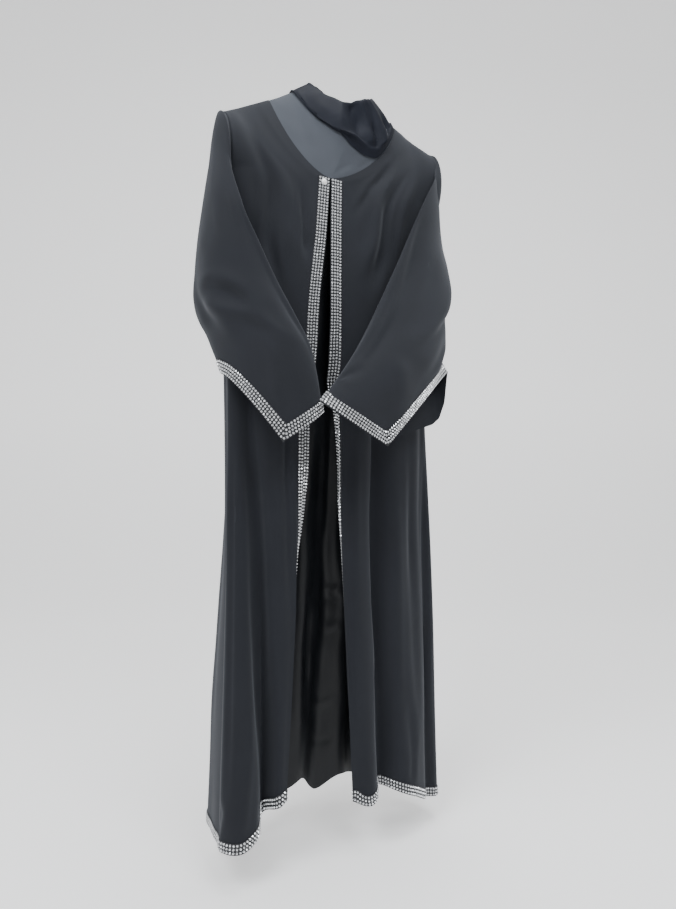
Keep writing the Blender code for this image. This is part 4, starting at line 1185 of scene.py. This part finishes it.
@functools.cache
def stone_tree():
    """Geometry nodes that set a cut stone on every seat, a little unevenly."""
    tree = bpy.data.node_groups.new("set_stones", "GeometryNodeTree")
    inputs = {"Seats": "Geometry", "Stone width": "Float", "Stone height": "Float", "Table share": "Float",
              "Tilt": "Float", "Seed": "Int", "Stone look": "Material"}
    for name, kind in inputs.items():
        tree.interface.new_socket(name=name, in_out="INPUT", socket_type="NodeSocket" + kind)
    tree.interface.new_socket(name="Stones", in_out="OUTPUT", socket_type="NodeSocketGeometry")
    given = tree.nodes.new("NodeGroupInput").outputs

    def node(kind, sockets, **settings):
        """Adds a node with its settings, then its values and links, and gives its live output."""
        made = tree.nodes.new(kind)
        for key, value in settings.items():
            setattr(made, key, value)
        for key, value in sockets.items():
            if isinstance(value, bpy.types.NodeSocket):
                tree.links.new(value, made.inputs[key])
            else:
                made.inputs[key].default_value = value
        return next((socket for socket in made.outputs if socket.enabled), None)

    def times(value, factor):
        return node("ShaderNodeMath", {0: value, 1: factor}, operation="MULTIPLY")

    def stored(name):
        return node("GeometryNodeInputNamedAttribute", {"Name": name}, data_type="FLOAT_VECTOR")

    stone = node("GeometryNodeMeshCone",
                 {"Vertices": STONE_SIDES, "Radius Top": times(given["Table share"], 0.5),
                  "Radius Bottom": 0.5, "Depth": 1.0}, fill_type="NGON")
    flat = node("GeometryNodeSetShadeSmooth", {"Geometry": stone, "Shade Smooth": False})
    stand = node("FunctionNodeAlignRotationToVector", {"Vector": stored("facing")}, axis="Z")
    point = node("FunctionNodeAlignRotationToVector", {"Rotation": stand, "Vector": stored("along")},
                 axis="X", pivot_axis="Z")
    lean = node("FunctionNodeRandomValue",
                {"Min": times(given["Tilt"], -1.0), "Max": given["Tilt"], "Seed": given["Seed"]},
                data_type="FLOAT_VECTOR")
    leaned = node("FunctionNodeRotateRotation",
                  {"Rotation": point, "Rotate By": node("FunctionNodeEulerToRotation", {"Euler": lean})},
                  rotation_space="LOCAL")
    width = given["Stone width"]
    size = node("ShaderNodeCombineXYZ", {"X": width, "Y": width, "Z": given["Stone height"]})
    placed = node("GeometryNodeInstanceOnPoints",
                  {"Points": given["Seats"], "Instance": flat, "Rotation": leaned, "Scale": size})
    # A random share for each stone, which its look turns into brighter and darker painted glints
    spark = node("FunctionNodeRandomValue", {"Seed": given["Seed"]}, data_type="FLOAT")
    marked = node("GeometryNodeStoreNamedAttribute",
                  {"Geometry": placed, "Name": "sparkle", "Value": spark},
                  data_type="FLOAT", domain="INSTANCE")
    real = node("GeometryNodeRealizeInstances", {"Geometry": marked})
    dressed = node("GeometryNodeSetMaterial", {"Geometry": real, "Material": given["Stone look"]})
    node("NodeGroupOutput", {"Stones": dressed})
    return tree


def set_stones(name, seats, facing, along, look, seed):
    """A plain mesh of stones on their seats, made by the stone tree."""
    sizes = bpy.context.scene.abaya_sizes
    points = bpy.data.meshes.new(name + "_seats")
    points.from_pydata((seats + facing * (SEAM + sizes.net)).tolist(), [], [])
    for key, values in (("facing", facing), ("along", along)):
        attribute = points.attributes.new(key, "FLOAT_VECTOR", "POINT")
        attribute.data.foreach_set("vector", values.ravel())
    holder = put_in_scene(name + "_seats", points)
    modifier = holder.modifiers.new("stones", "NODES")
    modifier.node_group = stone_tree()
    values = {"Stone width": sizes.stone_width, "Stone height": sizes.stone_height,
              "Table share": sizes.stone_table, "Tilt": sizes.stone_tilt, "Seed": seed, "Stone look": look}
    for item in modifier.node_group.interface.items_tree:
        if item.in_out == "INPUT" and item.name in values:
            modifier[item.identifier] = values[item.name]
    evaluated = holder.evaluated_get(bpy.context.evaluated_depsgraph_get())
    mesh = bpy.data.meshes.new_from_object(evaluated)
    bpy.data.objects.remove(holder, do_unlink=True)
    mesh.name = name
    return put_in_scene(name, mesh)


def sewn_on(*names):
    """The finished pieces of these names that are there, such as the bands on a panel."""
    return [bpy.data.objects[name] for name in names if name in bpy.data.objects]


def lay_band(name, band, out, rows, closed, seed):
    """A net band and its stones, in place of one trim of the frame."""
    sizes = bpy.context.scene.abaya_sizes
    looks = materials()
    node = name + "_trim"
    net = shell(name + "_net", band_cloth(band, out, closed), SEAM, SEAM + sizes.net, looks["net"])
    hand_over(net, node)
    seats = stone_seats(band, out, rows, sizes.stone_pitch, 0.015, closed)
    stones = set_stones(name + "_stones", *seats, looks["stone"], seed)
    hand_over(stones, node)
    return [net, stones]


# Shader values


class Value:
    """A shader socket that Python's arithmetic adds Math nodes to."""

    def __init__(self, shade, socket):
        self.shade = shade
        self.socket = socket

    def maths(self, operation, a, b):
        return self.shade.node("ShaderNodeMath", {"operation": operation}, {0: a, 1: b})

    def __add__(self, other):
        return self.maths("ADD", self, other)

    def __sub__(self, other):
        return self.maths("SUBTRACT", self, other)

    def __rsub__(self, other):
        return self.maths("SUBTRACT", other, self)

    def __mul__(self, other):
        return self.maths("MULTIPLY", self, other)

    __radd__ = __add__
    __rmul__ = __mul__


class Shade:
    """A material with one Principled shader, and the one method that adds its other nodes."""

    def __init__(self, name, **settings):
        self.material = bpy.data.materials.new(name)
        self.material.use_nodes = True
        self.tree = self.material.node_tree
        self.shader = self.tree.nodes["Principled BSDF"]
        for key, value in settings.items():
            self.shader.inputs[key.replace("_", " ")].default_value = value

    def node(self, kind, settings=None, sockets=None, output=0):
        made = self.tree.nodes.new(kind)
        for key, value in (settings or {}).items():
            if key == "stops":
                ramp = made.color_ramp
                while len(ramp.elements) < len(value):
                    ramp.elements.new(0.5)
                for element, (place, shade) in zip(ramp.elements, value):
                    element.position = place
                    element.color = shade
            else:
                setattr(made, key, value)
        for key, value in (sockets or {}).items():
            if isinstance(value, Value):
                self.tree.links.new(value.socket, made.inputs[key])
            else:
                made.inputs[key].default_value = value
        return Value(self, made.outputs[output])

    def flat(self):
        return self.node("ShaderNodeUVMap", {"uv_map": "cloth"})

    def noise(self, where, scale, detail=2.0):
        return self.node("ShaderNodeTexNoise", {}, {"Vector": where, "Scale": scale, "Detail": detail})

    def stretched(self, where, across, along):
        return self.node("ShaderNodeMapping", {}, {"Vector": where, "Scale": (across, along, 1.0)})

    def blend(self, share, a, b):
        return self.node("ShaderNodeMix", {"data_type": "RGBA"}, {0: share, 6: a, 7: b}, output=2)

    def bump(self, height, strength, distance):
        sockets = {"Height": height, "Strength": strength, "Distance": distance}
        return self.node("ShaderNodeBump", {}, sockets)

    def set(self, socket, value):
        self.tree.links.new(value.socket, self.shader.inputs[socket])


def tone(colour, factor):
    return (*(min(1.0, c * factor) for c in colour), 1.0)


def crepe_look(name, colour, rough, sheen):
    """Matt crepe: a pebbled grain over fine yarns, with slow patches of lighter nap."""
    shade = Shade(name, Sheen_Weight=sheen, Sheen_Roughness=0.50, Specular_IOR_Level=0.16)
    shade.shader.inputs["Sheen Tint"].default_value = (0.86, 0.91, 1.0, 1.0)
    flat = shade.flat()
    patches = shade.noise(flat, 9.0, 4.0)
    grain = shade.noise(flat, 1500.0, 2.0)
    yarns = shade.noise(shade.stretched(flat, 260.0, 2600.0), 1.0, 1.0)
    mix = patches * 0.7 + grain * 0.3
    shade.set("Base Color", shade.blend(mix, tone(colour, 0.72), tone(colour, 1.28)))
    shade.set("Roughness", patches * 0.10 + (rough - 0.05))
    shade.set("Normal", shade.bump(grain * 0.7 + yarns * 0.3, 0.22, 0.0004))
    return shade.material


def satin_look(name, colour, rough, gloss):
    """Black satin: long smooth yarns, small crumpled creases and a soft gloss; the creases' crests are
    painted lighter and their hollows darker, as painted highlight and shade.
    """
    shade = Shade(name, Specular_IOR_Level=gloss)
    flat = shade.flat()
    creases_and_painted_shade = shade.noise(shade.stretched(flat, 34.0, 12.0), 1.0, 5.0)
    yarns = shade.noise(shade.stretched(flat, 2400.0, 90.0), 1.0, 2.0)
    # Painted highlight and shade: the colour is lighter where the small creases rise and darker where they
    # sink
    shade.set("Base Color", shade.blend(creases_and_painted_shade, tone(colour, 0.75), tone(colour, 1.35)))
    shade.set("Roughness", creases_and_painted_shade * 0.22 + (rough - 0.11))
    shade.set("Normal", shade.bump(creases_and_painted_shade + yarns * 0.04, 0.22, 0.0014))
    return shade.material


def stone_look(name, colour):
    """Clear foiled stones: each a little brighter or darker than the next, as painted glints and painted
    shade for how each catches the light.
    """
    shade = Shade(name, Coat_Weight=0.8, Coat_Roughness=0.05, Specular_IOR_Level=0.9)
    sparkle = shade.node("ShaderNodeAttribute", {"attribute_name": "sparkle"}, {}, output=2)
    # Painted glints and shade: the random share makes some stones' colour brighter and others darker
    shade.set("Base Color", shade.blend(sparkle, tone(colour, 0.50), tone(colour, 1.0)))
    shade.set("Roughness", 0.26 - sparkle * 0.18)
    shade.set("Metallic", 0.15 + sparkle * 0.55)
    return shade.material


def net_look(name, colour, pitch):
    """The dark net that the stones sit in: cups in rows with threads between them."""
    shade = Shade(name, Specular_IOR_Level=0.4)
    flat = shade.flat()
    cups = shade.node("ShaderNodeTexVoronoi", {"feature": "F1"}, {"Vector": flat, "Scale": 1.0 / pitch,
                                                                 "Randomness": 0.0})
    threads = shade.noise(flat, 1800.0, 1.0)
    shade.set("Base Color", shade.blend(cups, tone(colour, 1.4), tone(colour, 0.6)))
    shade.set("Roughness", cups * 0.2 + 0.45)
    shade.set("Normal", shade.bump(cups + threads * 0.3, 0.5, 0.0006))
    return shade.material


def pearl_look(name, colour):
    """A pearl's milky skin over a faint mottle."""
    shade = Shade(name, Coat_Weight=0.7, Coat_Roughness=0.08, Subsurface_Weight=0.05)
    where = shade.node("ShaderNodeTexCoord", {}, {}, output=3)
    cloud = shade.noise(where, 220.0, 3.0)
    shade.set("Base Color", shade.blend(cloud, tone(colour, 0.92), tone(colour, 1.04)))
    shade.set("Roughness", cloud * 0.08 + 0.16)
    return shade.material


def plain_look(name, colour, rough):
    """The stage's pale paint, with a trace of mottle."""
    shade = Shade(name, Specular_IOR_Level=0.2, Emission_Color=tone(colour, 1.0), Emission_Strength=0.56)
    where = shade.node("ShaderNodeTexCoord", {}, {}, output=3)
    cloud = shade.noise(where, 2.0, 2.0)
    shade.set("Base Color", shade.blend(cloud, tone(colour, 0.99), tone(colour, 1.0)))
    shade.set("Roughness", cloud * 0.02 + rough)
    return shade.material


@functools.cache
def materials():
    colours = bpy.context.scene.abaya_colours
    sizes = bpy.context.scene.abaya_sizes
    return {
        "crepe": crepe_look("matt_black_crepe", colours.crepe, 0.84, 0.12),
        "yoke": crepe_look("matt_grey_yoke", colours.yoke, 0.78, 0.15),
        "satin": satin_look("black_satin", colours.satin, 0.42, 0.22),
        "collar": satin_look("soft_black_satin", colours.collar, 0.55, 0.06),
        "stone": stone_look("clear_stone", colours.stone),
        "net": net_look("stone_net", colours.net, sizes.stone_pitch),
        "pearl": pearl_look("pearl", colours.pearl),
    }


# Sizes and colours that a user would change


def length_of(name, about, default, least):
    return FloatProperty(name=name, description=about, default=default, min=least, unit="LENGTH")


def share_of(name, about, default, least, most):
    return FloatProperty(name=name, description=about, default=default, min=least, max=most,
                         subtype="FACTOR")


def row_count(name, about, default):
    return IntProperty(name=name, description=about, default=default, min=1, max=6)


def colour_of(name, about, default):
    return FloatVectorProperty(name=name, description=about, default=default, min=0.0, max=1.0, size=3,
                               subtype="COLOR")


class AbayaSizes(bpy.types.PropertyGroup):
    """Sizes of the cloth, the creases and the stone bands."""

    cloth: length_of("Crepe", "Thickness of the crepe shell", 0.0011, 0.0005)
    satin: length_of("Satin", "Thickness of the satin shell", 0.0008, 0.0004)
    crease_strength: share_of("Creases", "Share of the creases' full depth", 1.0, 0.0, 2.0)
    front_band: length_of("Front band", "Width of the stone band on a front edge", 0.026, 0.01)
    cuff_band: length_of("Cuff band", "Width of the stone band round a cuff", 0.024, 0.01)
    hem_band: length_of("Hem band", "Width of the stone band round the hem", 0.020, 0.01)
    net: length_of("Net", "Thickness of the net under the stones", 0.0006, 0.0002)
    stone_pitch: length_of("Stone pitch", "Distance from stone to stone", 0.0064, 0.003)
    stone_width: length_of("Stone width", "Width of one stone", 0.0048, 0.002)
    stone_height: length_of("Stone height", "Height of one stone", 0.0019, 0.0005)
    stone_table: share_of("Stone table", "Width of a stone's flat top as a share", 0.58, 0.1, 0.95)
    stone_tilt: FloatProperty(name="Stone tilt", description="Largest lean of a stone on its net",
                              default=math.radians(6), min=0.0, subtype="ANGLE")
    stone_rows: row_count("Stone rows", "Rows of stones on a front or cuff band", 4)
    hem_rows: row_count("Hem rows", "Rows of stones on the hem's band", 3)


class AbayaColours(bpy.types.PropertyGroup):
    """Colours of the cloths, stones and stage."""

    crepe: colour_of("Crepe", "Matt outer cloth", (0.0130, 0.0142, 0.0180))
    yoke: colour_of("Yoke", "Cloth inside the neckline", (0.052, 0.058, 0.069))
    satin: colour_of("Satin", "Lining", (0.0065, 0.0073, 0.0088))
    collar: colour_of("Collar", "Satin collar", (0.012, 0.0135, 0.019))
    stone: colour_of("Stones", "Clear stones on their foil", (0.93, 0.94, 0.96))
    net: colour_of("Net", "Net under the stones", (0.012, 0.013, 0.015))
    pearl: colour_of("Pearl", "Button", (0.96, 0.95, 0.93))
    stage: colour_of("Stage", "Floor and backdrop", (0.92, 0.92, 0.92))


# Operators


class ABAYA_OT_body(bpy.types.Operator):
    """Lay the crepe of the two fronts and the back over the frame"""

    bl_idname = "abaya.body"
    bl_label = "Fronts and back"

    def execute(self, context):
        sizes = context.scene.abaya_sizes
        flats = {"right": (0.34, 1.45), "left": (0.37, 1.48), "back": (0.72, 1.50)}
        for name, cloth in body_cloth().items():
            node = "back" if name == "back" else name + "_front"
            bands = [name + part for part in ("_front_net", "_front_stones", "_hem_net", "_hem_stones")]
            sewn = sewn_on(*bands, *(["pearl_button"] if name == "right" else []))
            sew(node + "_crepe", cloth, sizes.cloth, materials()["crepe"], node, "matt_crepe", sewn,
                flat=flats[name], held="hung", rests_on=["neck_yoke"])
        return {"FINISHED"}


class ABAYA_OT_sleeves(bpy.types.Operator):
    """Lay the crepe of the two wide sleeves over the frame"""

    bl_idname = "abaya.sleeves"
    bl_label = "Sleeves"

    def execute(self, context):
        sizes = context.scene.abaya_sizes
        flats = {"right": (0.60, 0.66), "left": (0.80, 0.72)}
        for side in ("right", "left"):
            node = side + "_sleeve"
            sewn = sewn_on(side + "_cuff_net", side + "_cuff_stones")
            sew(node + "_crepe", sleeve_cloth(side), sizes.cloth, materials()["crepe"], node, "matt_crepe",
                sewn, flat=flats[side], held="hung", rests_on=[side + "_front"])
        return {"FINISHED"}


class ABAYA_OT_neck(bpy.types.Operator):
    """Make the matt yoke and the crumpled satin collar"""

    bl_idname = "abaya.neck"
    bl_label = "Yoke and collar"

    def execute(self, context):
        thickness = context.scene.abaya_sizes.satin
        sew("neck_yoke_cloth", yoke_cloth(), thickness, materials()["yoke"], "neck_yoke", "yoke_cloth",
            flat=(0.90, 0.13), held="stretched", rests_on=["back"])
        sew("satin_collar", collar_cloth(), thickness, materials()["collar"], "collar", "satin",
            flat=(0.56, 0.17), held="gathered", rests_on=["neck_yoke"])
        return {"FINISHED"}


class ABAYA_OT_lining(bpy.types.Operator):
    """Hang the satin lining behind the front opening"""

    bl_idname = "abaya.lining"
    bl_label = "Satin lining"

    def execute(self, context):
        sew("satin_lining_cloth", lining_cloth(), context.scene.abaya_sizes.satin, materials()["satin"],
            "satin_lining", "satin", flat=(0.56, 1.26), held="hung", rests_on=["right_front", "left_front"])
        return {"FINISHED"}


class ABAYA_OT_bands(bpy.types.Operator):
    """Set the stone bands on the front edges, the hem and the cuffs"""

    bl_idname = "abaya.bands"
    bl_label = "Stone bands"

    def execute(self, context):
        sizes = context.scene.abaya_sizes
        body = body_cloth()
        for seed, side in enumerate(("right", "left")):
            points, out = strip_band(side)
            lay_band(side + "_front", points, out, sizes.stone_rows, False, 20 + seed)
            band, out = edge_band(body[side], slice(0, FRONT_COLUMNS), sizes.hem_band, False)
            lay_band(side + "_hem", band, out, sizes.hem_rows, False, 30 + seed)
            band, out = edge_band(sleeve_cloth(side), slice(None), sizes.cuff_band, True)
            lay_band(side + "_cuff", band, out, sizes.stone_rows, True, 40 + seed)
        band, out = edge_band(body["back"], slice(None), sizes.hem_band, False)
        lay_band("back_hem", band, out, sizes.hem_rows, False, 50)
        return {"FINISHED"}


class ABAYA_OT_button(bpy.types.Operator):
    """Turn the pearl button and its rim"""

    bl_idname = "abaya.button"
    bl_label = "Pearl button"

    def execute(self, context):
        low, high = (np.array(p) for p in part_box("button"))
        radius = (high[0] - low[0]) / 2 * BUTTON_GROWTH
        centre = (low + high) / 2
        dome = [(radius * DOME_SHARE * math.cos(a), DOME_FOOT + DOME_RISE * math.sin(a))
                for a in np.linspace(0, math.pi / 2, 9)]
        profile = [(radius * 0.80, 0.0), (radius * 0.98, 0.0), (radius, 0.0005), (radius * 0.92, 0.0011)]
        profile += dome[:-1]
        count = BUTTON_SIDES
        turn = np.linspace(0, 2 * math.pi, count, endpoint=False)
        points = [(r * math.cos(a), r * math.sin(a), h) for r, h in profile for a in turn]
        faces = []
        for i in range(len(profile) - 1):
            for j in range(count):
                k = (j + 1) % count
                faces.append((i * count + j, i * count + k, (i + 1) * count + k, (i + 1) * count + j))
        faces.append(tuple(range(count))[::-1])
        last = (len(profile) - 1) * count
        points.append((0, 0, dome[-1][1]))
        for j in range(count):
            faces.append((last + j, last + (j + 1) % count, len(points) - 1))
        mesh = bpy.data.meshes.new("pearl_button")
        mesh.from_pydata(points, [], faces)
        mesh.materials.append(materials()["pearl"])
        turn_to = Vector((0, -1, 0)).to_track_quat("Z", "Y").to_matrix().to_4x4()
        turn_to.translation = Vector((centre[0], high[1], centre[2]))
        mesh.transform(turn_to)
        mesh.update()
        mesh.shade_smooth()
        hand_over(put_in_scene("pearl_button", mesh), "button")
        return {"FINISHED"}


class ABAYA_OT_stage(bpy.types.Operator):
    """Set up the pale floor and backdrop, the soft lights and the camera"""

    bl_idname = "abaya.stage"
    bl_label = "Stage"

    def execute(self, context):
        scene = context.scene
        profile = [(FLOOR_FRONT, 0.0), (FLOOR_BACK, 0.0)]
        for angle in np.linspace(0, math.pi / 2, 13)[1:]:
            profile.append((FLOOR_BACK + BACKDROP_BEND * math.sin(angle),
                            BACKDROP_BEND - BACKDROP_BEND * math.cos(angle)))
        profile.append((FLOOR_BACK + BACKDROP_BEND, BACKDROP_HEIGHT))
        points = [(x, y, FLOOR_Z + z) for x in (-FLOOR_HALF_WIDTH, FLOOR_HALF_WIDTH) for y, z in profile]
        count = len(profile)
        faces = [(i, i + count, i + count + 1, i + 1) for i in range(count - 1)]
        mesh = bpy.data.meshes.new("backdrop")
        mesh.from_pydata(points, [], faces)
        mesh.materials.append(plain_look("pale_backdrop", scene.abaya_colours.stage, 0.9))
        turn = Vector((math.sin(math.radians(CAMERA_YAW)), math.cos(math.radians(CAMERA_YAW)), 0))
        mesh.transform(turn.to_track_quat("Y", "Z").to_matrix().to_4x4())
        mesh.update()
        mesh.shade_smooth()
        put_in_scene("backdrop", mesh)

        for lamp in LAMPS:
            light = bpy.data.lights.new(lamp.name, "AREA")
            light.size = lamp.size
            light.energy = lamp.power
            light.color = lamp.colour
            made = put_in_scene(lamp.name, light)
            made.location = lamp.place
            aim = Vector(LAMP_AIM) - Vector(lamp.place)
            made.rotation_euler = aim.to_track_quat("-Z", "Y").to_euler()

        world = bpy.data.worlds.new("pale_room")
        world.use_nodes = True
        sky = world.node_tree.nodes["Background"]
        sky.inputs["Color"].default_value = (1.0, 1.0, 1.0, 1.0)
        sky.inputs["Strength"].default_value = ROOM_LIGHT
        scene.world = world

        data = bpy.data.cameras.new("camera")
        data.lens = CAMERA_LENS
        data.sensor_width = 36.0
        data.clip_start = 0.05
        camera = put_in_scene("camera", data)
        camera.location = CAMERA_PLACE
        camera.rotation_euler = (math.radians(90 + CAMERA_PITCH), 0, -math.radians(CAMERA_YAW))
        scene.camera = camera
        return {"FINISHED"}


class ABAYA_PT_panel(bpy.types.Panel):
    """Sizes, colours and steps of the abaya"""

    bl_idname = "ABAYA_PT_panel"
    bl_label = "Abaya cloak"
    bl_space_type = "VIEW_3D"
    bl_region_type = "UI"
    bl_category = "Abaya"

    def draw(self, context):
        for group in (context.scene.abaya_sizes, context.scene.abaya_colours):
            box = self.layout.box()
            for name in group.bl_rna.properties.keys():
                if name not in ("rna_type", "name"):
                    box.prop(group, name)
        for operator in OPERATORS:
            self.layout.operator(operator.bl_idname)


OPERATORS = (ABAYA_OT_stage, ABAYA_OT_bands, ABAYA_OT_button, ABAYA_OT_body, ABAYA_OT_sleeves, ABAYA_OT_neck,
             ABAYA_OT_lining)
CLASSES = (AbayaSizes, AbayaColours) + OPERATORS + (ABAYA_PT_panel,)


def register():
    for cls in CLASSES:
        bpy.utils.register_class(cls)
    bpy.types.Scene.abaya_sizes = PointerProperty(type=AbayaSizes)
    bpy.types.Scene.abaya_colours = PointerProperty(type=AbayaColours)


def unregister():
    del bpy.types.Scene.abaya_colours
    del bpy.types.Scene.abaya_sizes
    for cls in reversed(CLASSES):
        bpy.utils.unregister_class(cls)


def plain(box):
    return [[float(v) for v in corner] for corner in box]


def main():
    register()
    for operator in OPERATORS:
        group, name = operator.bl_idname.split(".")
        getattr(getattr(bpy.ops, group), name)()
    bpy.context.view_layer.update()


if __name__ == "__main__":
    main()
